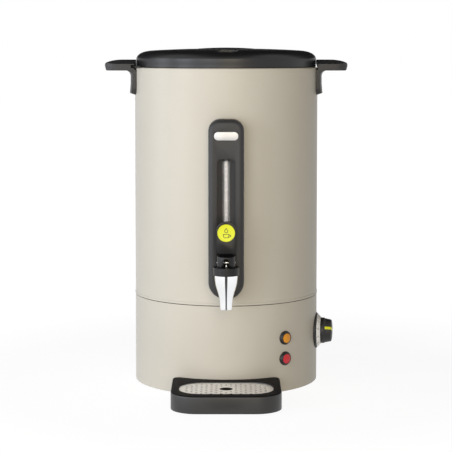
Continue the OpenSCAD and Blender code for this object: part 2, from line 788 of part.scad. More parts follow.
// Sensing bulb on the tank floor and the thin pipe that joins it to the thermostat
module capillary() {
    bz = tank_under - seat - bulb_d / 2;
    top = knob_z + stat_size.y / 2;
    stat = [sin(knob_az), -cos(knob_az)] * (stat_out - 11);
    color("#b87a4a") {
        translate([bulb_x, bulb_y0, bz]) rotate([-90, 0, 0]) cylinder(d = bulb_d, h = bulb_len);
        wire([[bulb_x, bulb_y0 + 0.5, bz], [bulb_x, bulb_y0 - 8, bz], [bulb_x, bulb_y0 - 12, bz - 5],
              [bulb_x + 8, bulb_y0 - 8, bz - 26], [stat.x, stat.y, top + 12], [stat.x, stat.y, top]],
             pipe_d);
    }
}

// ---------------------------------------------------------------- handles

grip_tip = body_r + grip_reach;
grip_z1 = grip_z0 + grip_t;
grip_inner = lid_d / 2 + 1.6;            // radius of the face that the lid turns past
slot_z0 = rim_z - 0.9;
slot_z1 = rim_z + tab_t + 1.3;
slot_r = lid_d / 2 + 11.3;
tab_r = lid_d / 2 + 9;
tab_z = rim_z + 0.4;
half_angle = asin(handle_w / 2 / (body_r + leg_t));      // angle that a handle's half covers
tab_rest = half_angle + 1.6;                             // start of a tab when the lid is unlocked
edge_fall = 6.1;                         // how far the crown falls towards the handle's edges
leg_x = body_r + leg_t;                  // radius of the leg's outer face
leg_flare = 1.2;                         // how much thicker the leg is near its lower end
leg_heel = 2.2;                          // rise of the leg's slanted lower end
leg_flare_h = 16;                        // height over which the flare runs out
tip_r = 2.5;                             // radius of the tip's lower edge
tip_lean = 1.6;                          // how far the tip's lower edge stands back
tip_lean_h = 7;                          // height over which the tip leans
crown_fall = 6.8;                        // how far the crown falls towards the tip
crown_run = 24;                          // length over which it falls
plan_r = 16;                             // radius of the tip's corners, seen from above

// Section of the leg and of the fillet under the grip, turned about the tank's axis
module leg_section() {
    foot = grip_z0 - leg_h;
    polygon(concat(
        [[body_r - 1, foot], [body_r + 1, foot], [leg_x + leg_flare, foot + leg_heel],
         [leg_x, foot + leg_flare_h]],
        arc([leg_x + grip_fillet, grip_z0 - grip_fillet], grip_fillet, 180, 90),
        [[leg_x + grip_fillet, grip_z0 + 1], [body_r - 1, grip_z0 + 1]]));
}

// Side outline of the grip: x is the distance from the tank's axis, y is the height
module grip_side() {
    polygon(concat(
        [[body_r - 1, grip_z0]],
        arc([grip_tip - tip_lean - tip_r, grip_z0 + tip_r], tip_r, -90, 0, 3),
        [[grip_tip, grip_z0 + tip_lean_h]],
        bezier([grip_tip, grip_z1 - crown_fall], [grip_tip, grip_z1 - 0.6 * crown_fall],
            [grip_tip - 0.4 * crown_run, grip_z1], [grip_tip - crown_run, grip_z1], 8),
        [[body_r - 1, grip_z1]]));
}

// The handle of the +X side, whose slot opens towards the back
module handle() {
    crown_r = (handle_w * handle_w / 4 + edge_fall * edge_fall) / (2 * edge_fall);
    color("#343434") difference() {
        intersection() {
            union() {
                rotate_extrude($fn = 192) leg_section();
                translate([0, handle_w / 2, 0]) rotate([90, 0, 0])
                    linear_extrude(handle_w) grip_side();
            }
            // crown, highest along the middle
            translate([0, 0, grip_z1 - crown_r]) rotate([0, 90, 0])
                cylinder(r = crown_r, h = 2 * body_r, $fn = 180);
            translate([0, -handle_w / 2, 0]) linear_extrude(grip_z1 + 1)
                translate([grip_tip / 2, handle_w / 2]) polygon(round_rect(grip_tip, handle_w, plan_r));
            // the leg's lower corners
            translate([0, 0, grip_z0 - leg_h + body_r]) rotate([90, 0, 90])
                linear_extrude(2 * body_r) polygon(round_rect(handle_w, 2 * body_r, 10));
        }
        cylinder(r = body_r + seat, h = rim_z + seat, $fn = 192);
        cylinder(r = grip_inner, h = grip_z1 + 1, $fn = 192);
        translate([0, 0, slot_z0]) ring_sector(grip_inner - 5, slot_r, slot_z1 - slot_z0,
            tab_rest - lock_turn - 1.2, 40);
        for (a = [-1, 1]) facing(90 + a * handle_screw_angle, handle_screw_z)
            translate([0, 0, body_r - 1]) cylinder(d = handle_screw_d, h = leg_t - 1);
    }
}

module handle_right() {
    handle();
}

module handle_left() {
    rotate([0, 0, 180]) handle();
}

module handle_screws() {
    color("#b9bbbd") for (side = [90, 270], a = [-1, 1])
        facing(side + a * handle_screw_angle, handle_screw_z) {
            translate([0, 0, shell_in - screw_head_h - 0.2])
                cylinder(d = screw_head_d, h = screw_head_h, $fn = 32);
            translate([0, 0, shell_in - 1]) cylinder(d = handle_screw_d, h = leg_t);
        }
}

// ---------------------------------------------------------------- tower and gauge

tap_y = body_r + tap_reach;              // distance of the spout's axis from the tank's axis
tower_front = body_r + tower_depth;
groove_floor = tower_front - groove_depth;
seal_wall = 1.1;                         // wall of the rubber sleeve round the tube's upper end
socket_z = shank_z + 12;                 // lower end of the glass tube
tube_top = groove_z1 + 8;
plate_recess = 1;
plate_gap = 0.6;                         // clearance round the name plate
tube_stand = 2.4;                        // gap between the tube and the floor of the groove
seal_len = 7;
tube_r = groove_floor + tube_stand + tube_d / 2; // distance of the tube's axis from the tank's axis
groove_r = 7;                            // radius of the groove's corners
collar_drop = 5.9;                       // distance from the shank's axis down to the collar's foot
collar_z0 = shank_z - collar_drop;
groove_z0 = collar_z0 - 0.6 * groove_r;  // lower end of the groove, under the tap's arm
boss_rise = 6;                           // height of the socket's wall round the tube's lower end
strip_t = 0.8;
washer_t = 1.5;
gauge_bore = 5;                          // bore from the shank up to the glass tube

// Section from the middle to the outside, with a rounded front edge
function edge_section(w, d0, d1, r) =
    concat([[0, d0], [w, d0]], arc([w - r, d1 - r], r, 0, 90), [[0, d1]]);

module tower_blank() {
    half = tower_w / 2;
    inner = body_r - 8;
    facing(0, 0) {
        translate([0, tower_z0 + half, 0]) rotate([0, 0, 180])
            rotate_extrude(angle = 180) polygon(edge_section(half, inner, tower_front, tower_edge));
        for (s = [0, 1]) mirror([s, 0, 0]) {
            translate([0, tower_z1 - tower_r, 0]) rotate([90, 0, 0])
                linear_extrude(tower_z1 - tower_r - tower_z0 - half)
                    polygon(edge_section(half, inner, tower_front, tower_edge));
            translate([half - tower_r, tower_z1 - tower_r, 0]) rotate_extrude(angle = 90)
                polygon(edge_section(tower_r, inner, tower_front, tower_edge));
        }
        translate([tower_r - half, tower_z1 - tower_r, 0]) rotate([90, 0, 90])
            linear_extrude(tower_w - 2 * tower_r)
                polygon(edge_section(tower_r, inner, tower_front, tower_edge));
    }
}

module tower_housing() {
    color("#3f3f3f") difference() {
        tower_blank();
        cylinder(r = body_r + seat, h = tower_z1 + 1, $fn = 192);
        // groove for the gauge, open below towards the tap's arm
        facing(0, 0) {
            translate([0, (groove_z1 + groove_z0) / 2, groove_floor])
                plate2(groove_w, groove_z1 - groove_z0, groove_r, groove_depth + 1);
            translate([0, shank_z, body_r - 10]) cylinder(d = shank_d + 2 * gap, h = 60);
            translate([0, groove_z1 - 2, tube_r]) rotate([-90, 0, 0])
                cylinder(d = tube_d + 2 * seal_wall + 2 * seat, h = tube_top - groove_z1 + 6);
            translate([0, tube_top + 1, body_r - 1]) cylinder(d = 3, h = tube_r - body_r);
            translate([0, plate_z, tower_front - plate_recess])
                plate2(plate_w + 2 * plate_gap, plate_h + 2 * plate_gap, plate_h / 2 + plate_gap - 0.05, 5);
            for (z = tower_screw_z) translate([0, z, body_r - 5]) cylinder(d = tower_screw_d, h = 14);
        }
    }
}

module tower_screws() {
    color("#b9bbbd") for (z = tower_screw_z) facing(0, z) {
        translate([0, 0, shell_in - screw_head_h - 0.2])
            cylinder(d = screw_head_d, h = screw_head_h, $fn = 32);
        translate([0, 0, shell_in - 1]) cylinder(d = tower_screw_d, h = 9);
    }
}

module name_plate() {
    color("#e9e9ea") facing(0, plate_z) translate([0, 0, tower_front - plate_recess])
        plate2(plate_w, plate_h, plate_h / 2 - 0.05, 1.4);
}

module gauge_tube() {
    color("#dfe8ea") translate([0, -tube_r, socket_z])
        tube(tube_d, tube_d - 2 * tube_t, tube_top - socket_z);
}

module gauge_strip() {
    z0 = socket_z + boss_rise + 1;
    color("#f4f4f2") facing(0, 0) translate([-strip_w / 2, z0, groove_floor])
        cube([strip_w, groove_z1 - 4 - z0, strip_t]);
}

module gauge_seals() {
    color("#d8d2c4") {
        translate([0, -tube_r, socket_z - washer_t]) tube(tube_d, gauge_bore, washer_t);
        translate([0, -tube_r, tube_top - seal_len]) tube(tube_d + 2 * seal_wall, tube_d, seal_len);
    }
}

// ---------------------------------------------------------------- tap

collar_z1 = collar_z0 + collar_h;
collar_wall = 2;
recess_z = collar_z1 - 2.3;              // floor of the recess that holds the bonnet
chamber_d = 17;
chamber_z = collar_z0 - 6.9;             // floor of the valve chamber
spigot_d = 24;
spigot_z = collar_z0 - 11.3;             // lower end of the spigot that carries the spout
outlet_d = 10;
channel_d = 6;                           // bore from the shank to the valve chamber
channel_drop = 1.9;                      // distance of the channel's axis below the shank's
arm_w = 24;
arm_top = shank_z + 6.4;
nut_face = tank_r - 6;                   // inner face of the nut's washer stack
shank_end = tank_r - 13;
seal_t = 2;
nut_h = 7;

module at_tap() {
    translate([0, -tap_y, 0]) children();
}

module tap_body() {
    shank_start = tap_y - groove_floor - seat;   // length of the arm, up to the tower
    color("#2f2f2f") difference() {
        union() {
            at_tap() {
                translate([0, 0, collar_z0]) cylinder(d = collar_d, h = collar_h, $fn = 128);
                translate([0, 0, spigot_z]) cylinder(d = spigot_d, h = collar_z0 - spigot_z + 1);
                translate([-arm_w / 2, 0, collar_z0]) cube([arm_w, shank_start, arm_top - collar_z0]);
            }
            facing(0, shank_z) {
                translate([0, 0, shank_end]) cylinder(d = shank_d, h = groove_floor + 2 - shank_end);
            }
            translate([0, -tube_r, shank_z])
                cylinder(d = tube_d + 4, h = socket_z + boss_rise - shank_z);
        }
        at_tap() {
            translate([0, 0, recess_z]) cylinder(d = collar_d - 2 * collar_wall, h = 10, $fn = 128);
            translate([0, 0, chamber_z]) cylinder(d = chamber_d, h = 30);
            translate([0, 0, spigot_z - 1]) cylinder(d = outlet_d, h = 10);
            rotate([-90, 0, 0]) translate([0, channel_drop - shank_z, 0])
                cylinder(d = channel_d, h = shank_start);
        }
        facing(0, shank_z) translate([0, 0, shank_end - 1])
            cylinder(d = shank_bore, h = tube_r + 3 - shank_end);
        translate([0, -tube_r, shank_z]) cylinder(d = gauge_bore, h = 30);
        translate([0, -tube_r, socket_z - washer_t]) cylinder(d = tube_d + 2 * seat, h = 30);
    }
}

bonnet_t = 1.6;
bonnet_plug = 1.4;                       // depth to which the bonnet enters the chamber

module tap_bonnet() {
    color("#262626") at_tap() difference() {
        union() {
            translate([0, 0, recess_z])
                cylinder(d = collar_d - 2 * collar_wall - 2 * seat, h = bonnet_t);
            translate([0, 0, recess_z - bonnet_plug])
                cylinder(d = chamber_d - 2 * seat, h = bonnet_plug + bonnet_t / 2);
        }
        translate([0, 0, recess_z - 3]) cylinder(d = stem_d + 2 * fit, h = 8);
    }
}

module tap_spacer() {
    color("#dcd8cc") difference() {
        facing(0, shank_z) translate([0, 0, tank_r - cut / 2])
            tube(shank_d + 7, shank_d + 2 * seat, shell_in - tank_r + cut);
        cylinder(r = tank_r + tank_t + seal_t, h = rim_z, $fn = 192);
        difference() {
            cylinder(r = body_r + 30, h = rim_z);
            translate([0, 0, -1]) cylinder(r = shell_in, h = rim_z + 2, $fn = 192);
        }
    }
}

// One silicone washer on each side of the tank's wall
module tap_seals() {
    color("#c8443a") facing(0, shank_z) difference() {
        translate([0, 0, tank_r - seal_t - 4]) tube(shank_d + 8, shank_d + 2 * fit, 14);
        rotate([-90, 0, 0]) translate([0, 0, -60]) difference() {
            cylinder(r = tank_r + tank_t + fit, h = 120, $fn = 192);
            translate([0, 0, -1]) cylinder(r = tank_r - fit, h = 122, $fn = 192);
        }
        rotate([-90, 0, 0]) translate([0, 0, -60]) difference() {
            cylinder(r = body_r, h = 120);
            translate([0, 0, -1]) cylinder(r = tank_r + tank_t + seal_t, h = 122, $fn = 192);
        }
        translate([-60, -60, nut_face - 20]) cube([120, 120, 20 + 2.2]);
    }
}

module tap_nut() {
    color("#cfd1d3") facing(0, shank_z) difference() {
        translate([0, 0, nut_face + 2 - nut_h]) cylinder(d = 1.5 * shank_d, h = nut_h, $fn = 6);
        translate([0, 0, nut_face + 1 - nut_h]) cylinder(d = shank_d + 2 * fit, h = nut_h + 2);
    }
}

spout_z = collar_z0 - seat;
spout_wall = 1.8;

// Outer curve of the spout, from its top to its tip
function spout_curve(inset) = bezier(
    [spout_top_d / 2 - inset, spout_z], [spout_top_d / 2 - 0.9 - inset, spout_z - 0.5 * spout_len],
    [spout_tip_d / 2 + 0.2 - inset, spout_z - 0.44 * spout_len],
    [spout_tip_d / 2 - inset, spout_z - spout_len], 16);

module spout() {
    neck = spigot_z - 0.5;
    color("#e6e8ea") at_tap() difference() {
        rotate_extrude($fn = 128)
            polygon(concat([[0, spout_z]], spout_curve(0), [[0, spout_z - spout_len]]));
        rotate_extrude($fn = 96) polygon(concat([[0, neck]],
            [for (p = spout_curve(spout_wall)) if (p.y < neck - 1) p],
            [[spout_tip_d / 2 - spout_wall, spout_z - spout_len - 1], [0, spout_z - spout_len - 1]]));
        translate([0, 0, neck - eps]) cylinder(d = spigot_d + 2 * fit, h = 30);
    }
}

pin_z = recess_z + 8.4;                  // height of the lever's pin when the tap is closed
pin_d = 2;
bonnet_top = recess_z + bonnet_t;
seat_z = chamber_z + seat;

eye_d = 6.4;                             // diameter of the stem's eye round the pin
eye_w = 4.4;

module valve_stem() {
    color("#c9cbcd") at_tap() difference() {
        union() {
            translate([0, 0, seat_z + 1]) cylinder(d = stem_d, h = pin_z - seat_z - 1);
            translate([0, 0, bonnet_top + seat]) cylinder(d1 = stem_d + 2, d2 = stem_d, h = 1.6);
            translate([-eye_w / 2, 0, pin_z]) rotate([0, 90, 0]) cylinder(d = eye_d, h = eye_w, $fn = 48);
        }
        translate([-4, 0, pin_z]) rotate([0, 90, 0]) cylinder(d = pin_d + 2 * fit, h = 8, $fn = 32);
    }
}

plug_r = 7.6;                            // radius of the valve seal, running inside its chamber
plug_h = 5;

module valve_seal() {
    color("#c8443a") at_tap() difference() {
        translate([0, 0, seat_z]) rotate_extrude() polygon([[0, 0], [plug_r - 1.4, 0],
            [plug_r, 1.4], [plug_r, plug_h - 0.8], [plug_r / 2, plug_h], [0, plug_h]]);
        translate([0, 0, seat_z + 1]) cylinder(d = stem_d, h = 8);
    }
}

spring_r = 3.4;
spring_wire = 0.8;

module stem_spring() {
    base = seat_z + plug_h;
    color("#aeb1b4") at_tap() translate([0, 0, base])
        coil(spring_r, spring_wire, recess_z - bonnet_plug - base, 3);
}

paddle_front = 17;                       // distance from the pin to the paddle's front face
paddle_z0 = pin_z + 14.4;
paddle_t = 9;
hood_top = pin_z + 10;
slot_w = 7.4;
slot_back = 4.2;                         // how far the slot runs behind the pin
slot_rise = 3;                           // height of the slot's arch centre above the pin
cam_r = 11;                              // radius of the hood's lower corners about the pin

module paddle_outline() {
    half = paddle_w / 2;
    top = paddle_z1 - half;
    polygon(concat([[half - 1.2, paddle_z0], [half, paddle_z0 + 16]],
        arc([0, top], half, 0, 180, 20), [[-half, paddle_z0 + 16], [1.2 - half, paddle_z0]]));
}

badge_z = paddle_z1 - paddle_w / 2 - 1.7;

module tap_lever() {
    color("#242424") at_tap() difference() {
        union() {
            // paddle, with a face that is slightly hollow from side to side
            translate([0, -paddle_front + paddle_t, 0]) rotate([90, 0, 0])
                linear_extrude(paddle_t) paddle_outline();
            // neck from the back of the paddle down into the hood
            translate([-10, 0, 0]) rotate([90, 0, 90]) linear_extrude(20) polygon(concat(
                [[-9, paddle_z0 + 22], [-9, paddle_z0], [-4, hood_top - 2], [-4, pin_z + 6],
                 [9, pin_z + 6], [9, hood_top - 3]],
                bezier([8, hood_top], [4, hood_top + 4], [-4, paddle_z0 + 6], [-6, paddle_z0 + 20])));
            // hood, whose top slopes down to the front
            intersection() {
                translate([0, 0, bonnet_top + 0.5])
                    cylinder(d = hood_d, h = hood_top - bonnet_top, $fn = 128);
                translate([-20, 0, 0]) rotate([90, 0, 90]) linear_extrude(40) polygon([
                    [-20, pin_z], [20, pin_z], [20, hood_top - 1], [2, hood_top],
                    [-13, hood_top - 2], [-20, hood_top - 3]]);
            }
            intersection() {
                translate([0, 0, bonnet_top + 0.5])
                    cylinder(d = hood_d, h = pin_z - bonnet_top, $fn = 128);
                translate([-20, 0, pin_z]) rotate([0, 90, 0]) cylinder(r = cam_r, h = 40, $fn = 128);
            }
        }
        // slot for the stem, open below and towards the front
        translate([-slot_w / 2, -hood_d, 0]) cube([slot_w, hood_d + slot_back, pin_z + slot_rise]);
        translate([0, slot_back, pin_z + slot_rise]) rotate([90, 0, 0])
            cylinder(d = slot_w, h = hood_d + slot_back);
        translate([-20, 0, pin_z]) rotate([0, 90, 0]) cylinder(d = pin_d, h = 40, $fn = 32);
        translate([0, -paddle_front + 1, badge_z]) rotate([90, 0, 0]) cylinder(d = badge_d, h = 5);
    }
}

module lever_pin() {
    color("#e6e8ea") at_tap() translate([-hood_d / 2 - 0.3, 0, pin_z]) rotate([0, 90, 0])
        cylinder(d = pin_d, h = hood_d + 0.6, $fn = 32);
}

module lever_badge() {
    color("#e6ea10") at_tap() translate([0, -paddle_front + 1, badge_z]) rotate([90, 0, 0])
        difference() {
            cylinder(d1 = badge_d, d2 = badge_d - 0.6, h = 1.4);
            translate([0, 0, 1.1]) cylinder(d = badge_d - 2.4, h = 2);
        }
}

// ---------------------------------------------------------------- lid

lid_r = lid_d / 2;
lid_z = rim_z + 0.4;                     // lower edge of the lid's skirt
crown_z = lid_z + lid_h;
bulge = 1;                               // amount by which the lid swells above its skirt
seal_z = flange_z + 0.2;
seal_h = 3.9;
shoulder_z = lid_z + 11.5;
skirt_h = 6;                             // height of the lid's straight skirt
liner_z = seal_z + seal_h + 0.2;
liner_t = 1;
dish_r = (scoop_d * scoop_d / 4 + scoop_depth * scoop_depth) / (2 * scoop_depth);
vent_y = -lid_r + 24;
vent_floor = crown_z - 9;
boss_circle = 88;
boss_angles = [30, 150, 270];
lid_screw_d = 3.4;
lid_screw_len = 11;
boss_d = 9;
bar_proud = 1.2;                         // how far the bar's middle stands above the crown
bar_crown_r = 560;                       // radius of the bar's upper face
vent_ledge = 4;                          // width of the ledge that the vent's grille lies on
vent_bar = 4;                            // distance between the grille's slots

// Upper outline of the lid, inset by the given amount
function lid_curve(inset) = concat(
    bezier([lid_r + bulge - inset, shoulder_z], [lid_r + bulge - 0.8 - inset, shoulder_z + 6.6 - inset / 2],
        [lid_r - 7 - inset, crown_z - 4.2 - inset], [lid_r - 22 - inset, crown_z - 3.1 - inset], 8),
    [for (q = [0.66, 0.5, 0.33, 0.16, 0]) [lid_r * q, crown_z - 4.3 * q * q - inset]]);

module lid_blank() {
    rotate_extrude($fn = 192) difference() {
        polygon(concat([[0, lid_z], [lid_r, lid_z], [lid_r, lid_z + skirt_h]], lid_curve(0)));
        polygon(concat([[0, lid_z - 1], [lid_r - lid_t, lid_z - 1],
            [lid_r - lid_t, lid_z + skirt_h]], lid_curve(lid_t)));
    }
}

// Ball that shapes the scoop; the larger one leaves the floor under it
module dish(grow) {
    translate([0, 0, crown_z - scoop_depth + dish_r]) sphere(r = dish_r + grow, $fn = 160);
}

module lid_cover() {
    color("#262626") difference() {
        union() {
            difference() {
                union() {
                    lid_blank();
                    intersection() {
                        dish(lid_t);
                        translate([0, 0, crown_z - scoop_depth - 5]) cylinder(d = scoop_d + 12,
                            h = scoop_depth + 4);
                    }
                }
                dish(0);
            }
            // bar across the scoop, slightly proud of the crown
            intersection() {
                translate([-scoop_d / 2 - 2, -bar_w / 2, crown_z - scoop_depth - 1])
                    cube([scoop_d + 4, bar_w, scoop_depth + 5]);
                dish(1);
                translate([0, 0, crown_z + bar_proud - bar_crown_r]) sphere(r = bar_crown_r, $fn = 360);
            }
            translate([0, vent_y, vent_floor - 2.4]) plate2(vent_w + 4, vent_h + 4, vent_h / 2, 6.4);
            for (a = boss_angles) rotate([0, 0, a]) translate([boss_circle, 0, liner_z + liner_t])
                cylinder(d = boss_d, h = crown_z - 4 - liner_z - liner_t);
            for (s = [0, 180]) translate([0, 0, tab_z])
                ring_sector(lid_r - lid_t, tab_r, tab_t, s + tab_rest, s + tab_rest + tab_angle);
        }
        translate([0, vent_y, vent_floor]) plate2(vent_w, vent_h, vent_h / 2 - 0.1, 20);
        translate([0, vent_y, vent_floor - 5])
            plate2(vent_w - 2 * vent_ledge, vent_h - 2 * vent_ledge, vent_h / 2 - vent_ledge - 0.1, 20);
        for (a = boss_angles) rotate([0, 0, a]) translate([boss_circle, 0, liner_z])
            cylinder(d = lid_screw_d, h = lid_screw_len);
    }
}

module steam_vent() {
    color("#1c1c1c") translate([0, vent_y, vent_floor]) difference() {
        plate2(vent_w - 2 * seat, vent_h - 2 * seat, vent_h / 2 - 0.3, 1.8);
        for (i = [-3 : 3]) translate([(i - 0.25) * vent_bar, -vent_h / 4, -1])
            cube([vent_bar / 2, vent_h / 2, 4]);
    }
}

module lid_liner() {
    color("#c9ccce") difference() {
        translate([0, 0, liner_z]) cylinder(r = lid_r - lid_t - 0.5, h = liner_t, $fn = 192);
        for (x = [-9, 0, 9]) translate([x, vent_y, liner_z - 1]) cylinder(d = 5, h = 4, $fn = 24);
        for (a = boss_angles) rotate([0, 0, a]) translate([boss_circle, 0, liner_z - 1])
            cylinder(d = lid_screw_d, h = 4);
    }
}

module lid_screws() {
    color("#b9bbbd") for (a = boss_angles) rotate([0, 0, a]) translate([boss_circle, 0, liner_z]) {
        cylinder(d = lid_screw_d, h = lid_screw_len - seat);
        translate([0, 0, -2.2]) cylinder(d1 = 5, d2 = 7, h = 2.2, $fn = 32);
    }
}

module lid_seal() {
    color("#b9b4aa") translate([0, 0, seal_z]) rotate_extrude($fn = 192) polygon([
        [tank_r + 2, 0], [tank_flange_d / 2 - 1, 0], [tank_flange_d / 2 - 1, seal_h],
        [tank_r + 3.4, seal_h], [tank_r + 1, seal_h - 1.6]]);
}

// ---------------------------------------------------------------- drip tray

tray_front = body_r + tray_depth;
tray_back = body_r + 0.5;
tray_foot = 1;
tray_rear_r = 8;                         // radius of the tray's rear corners
grid_y = tap_y;                          // the grid is centred under the spout
grid_seat = 2.4;                         // depth of the ledge that the grid lies on
grid_ledge = 3;                          // width of that ledge

// Plan of the tray: x across, y towards the front
module tray_plan(inset) {
    w = tray_w / 2 - inset;
    f = tray_front - inset;
    r = tray_r - inset;
    cx = tray_w / 2 - tray_rear_r;
    c = [cx, sqrt(pow(tray_back + tray_rear_r, 2) - pow(cx, 2))];
    a = atan2(c.y, c.x);
    difference() {
        polygon(concat(arc(c, tray_rear_r - inset, a - 180, 0), arc([w - r, f - r], r, 0, 90, 10),
            arc([r - w, f - r], r, 90, 180, 10), arc([-c.x, c.y], tray_rear_r - inset, 180, 360 - a)));
        circle(r = tray_back + inset, $fn = 192);
    }
}

module drip_tray() {
    color("#3b3b3b") mirror([0, 1, 0]) difference() {
        union() {
            translate([0, 0, tray_foot]) linear_extrude(tray_h - tray_foot) tray_plan(0);
            for (x = [-lug_x, lug_x]) translate([x - lug_w / 2, body_r - shell_t - lug_len, lug_z])
                cube([lug_w, shell_t + lug_len + 14, lug_h]);
        }
        // well under the grid, with a ledge round it
        translate([0, grid_y, tray_foot + tray_t])
            plate2(grid_w - 2 * grid_ledge, grid_h - 2 * grid_ledge, grid_r - grid_ledge, tray_h);
        translate([0, grid_y, tray_h - grid_seat])
            plate2(grid_w + 2 * gap, grid_h + 2 * gap, grid_r, tray_h);
        // hollow underside
        difference() {
            translate([0, 0, tray_foot - 1]) linear_extrude(tray_h - tray_foot - grid_seat - tray_t + 1)
                tray_plan(tray_t);
            translate([0, grid_y, tray_foot - 2])
                plate2(grid_w - 2 * grid_ledge + 2 * tray_t, grid_h - 2 * grid_ledge + 2 * tray_t,
                    grid_r - grid_ledge + tray_t, tray_h);
        }
    }
}

tray_foot_d = 12;
tray_foot_x = tray_w / 2 - 26;
tray_foot_y = [grid_y - 24, grid_y + 24];

module tray_feet() {
    color("#202020") for (x = [-tray_foot_x, tray_foot_x], y = tray_foot_y)
        translate([x, -y, 0]) cylinder(d = tray_foot_d, h = tray_foot);
}

columns = floor((grid_w / 2 - 6) / hole_pitch);
rows = floor((grid_h / 2 - 4) / (hole_row / 2));

// True where a hole stays inside the round corners and clear of the drain
function hole_here(x, y) = let (cx = grid_w / 2 - grid_r, cy = grid_h / 2 - grid_r)
    norm([x, y]) > drain_d / 2 + hole_d
    && (abs(x) < cx || abs(y) < cy || norm([abs(x) - cx, abs(y) - cy]) < grid_r - 4);

module drip_grid() {
    color("#d6d8da") translate([0, -grid_y, tray_h - grid_seat + seat]) difference() {
        plate2(grid_w, grid_h, grid_r, grid_t);
        translate([0, 0, -1]) cylinder(d = drain_d, h = grid_t + 2);
        for (i = [-columns : columns], j = [-rows : rows])
            if ((i + j) % 2 == 0 && hole_here(i * hole_pitch, j * hole_row / 2))
                translate([i * hole_pitch, j * hole_row / 2, -1])
                    cylinder(d = hole_d, h = grid_t + 2, $fn = 16);
    }
}

body_shell();
base_shell();
seam_ring();
tank();
tank_posts();
base_plate();
base_screws();
feet();
heater_plate();
heating_element();
boil_dry_cutout();
thermostat_body();
capillary();
terminal_block();
wiring();
power_inlet();
inlet_pins();
inlet_screws();
dial_bezel();
dial_ring();
thermostat_shaft();
control_knob();
knob_pointer();
lamp_bezels();
amber_lens();
red_lens();
lamp_bodies();
lamp_nuts();
handle_left();
handle_right();
handle_screws();
tower_housing();
tower_screws();
name_plate();
gauge_tube();
gauge_strip();
gauge_seals();
tap_body();
tap_bonnet();
tap_spacer();
tap_seals();
tap_nut();
spout();
valve_stem();
valve_seal();
stem_spring();
tap_lever();
lever_pin();
lever_badge();
lid_seal();
lid_cover();
lid_liner();
steam_vent();
lid_screws();
drip_tray();
tray_feet();
drip_grid();
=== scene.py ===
"""Looks of a twist-lid hot water urn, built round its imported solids.

Lengths in the classes are millimetres and are turned to metres where a mesh is made, except in the
studio, which is in metres. The frame is that of the solids: +Z up, the tap towards -Y, the origin
on the tank's axis at the table.
"""

import json
import logging
import math
from dataclasses import dataclass
from enum import Enum
from typing import Optional, Sequence, Union

import bmesh
import bpy
from mathutils import Matrix, Vector

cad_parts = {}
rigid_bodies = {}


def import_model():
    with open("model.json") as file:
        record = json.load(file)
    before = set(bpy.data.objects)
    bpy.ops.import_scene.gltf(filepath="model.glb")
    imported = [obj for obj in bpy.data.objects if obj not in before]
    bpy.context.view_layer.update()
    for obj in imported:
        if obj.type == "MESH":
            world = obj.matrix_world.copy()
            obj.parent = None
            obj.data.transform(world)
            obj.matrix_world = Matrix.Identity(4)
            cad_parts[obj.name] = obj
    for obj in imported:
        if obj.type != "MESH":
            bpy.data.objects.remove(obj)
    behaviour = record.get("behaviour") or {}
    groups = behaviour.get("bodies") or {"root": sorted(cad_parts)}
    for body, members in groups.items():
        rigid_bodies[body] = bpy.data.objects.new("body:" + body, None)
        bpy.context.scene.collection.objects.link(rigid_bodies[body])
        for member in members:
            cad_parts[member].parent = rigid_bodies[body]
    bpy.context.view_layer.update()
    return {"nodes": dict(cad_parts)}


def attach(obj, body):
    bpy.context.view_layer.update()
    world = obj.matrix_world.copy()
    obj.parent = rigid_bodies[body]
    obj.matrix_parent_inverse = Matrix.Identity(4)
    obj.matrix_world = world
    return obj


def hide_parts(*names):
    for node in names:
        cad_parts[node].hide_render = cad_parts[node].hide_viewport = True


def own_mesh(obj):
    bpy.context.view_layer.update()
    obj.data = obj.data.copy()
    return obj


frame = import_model()

MM = 0.001
FINE_STEPS = 256  # straight pieces in the circles of the shell and the lid
STEPS = 192  # straight pieces in a large circle
MEDIUM_STEPS = 128  # straight pieces in a circle that a hand spans
SMALL_STEPS = 64  # straight pieces in a small circle
WELD = 2e-6  # distance, in metres, within which doubled points are merged
COPY_WELD = 8e-6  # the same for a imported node's copy
FLAT_ANGLE = 0.5  # faces of a copy that turn by less, in degrees, become one
SIDE_SHARE = 0.499  # most of an outline's side that one rounding uses up
END_SHARE = 0.4995  # radius of a bar's round end, as a share of its height
SMOOTH_ANGLE = 32.0  # edges sharper than this, in degrees, stay sharp
SOFTEN_ANGLE = 35.0  # edges sharper than this, in degrees, are bevelled
CORNER_ANGLE = 45.8  # edges sharper than this, in degrees, are corners
UPWARD = (0.6, 1.0)  # upward part of the normal of a face that looks up
SIDEWAYS = (-0.3, 0.3)  # upward part of the normal of a wall

LOG = logging.getLogger("urn")

BMesh = bmesh.types.BMesh
Object = bpy.types.Object
Socket = bpy.types.NodeSocket
Tree = bpy.types.NodeTree
Point = tuple[float, float]
Span = tuple[float, float]
Corner = tuple[float, float, float]


# ---- colours and nodes

def linear(code: str) -> tuple[float, float, float, float]:
    """Turns an sRGB hex colour into linear RGBA.

    Args:
        code: The colour as "#rrggbb".

    Returns:
        Red, green, blue and alpha for a shader's socket.
    """
    levels = [int(code[i:i + 2], 16) / 255 for i in (1, 3, 5)]
    r, g, b = (c / 12.92 if c <= 0.04045 else ((c + 0.055) / 1.055) ** 2.4 for c in levels)
    return r, g, b, 1.0


def cleared(owner: Union[bpy.types.Material, bpy.types.World]) -> Tree:
    """Empties the node tree of a new material or world.

    Args:
        owner: The material or world.

    Returns:
        Its empty node tree.
    """
    owner.use_nodes = True
    owner.node_tree.nodes.clear()
    return owner.node_tree


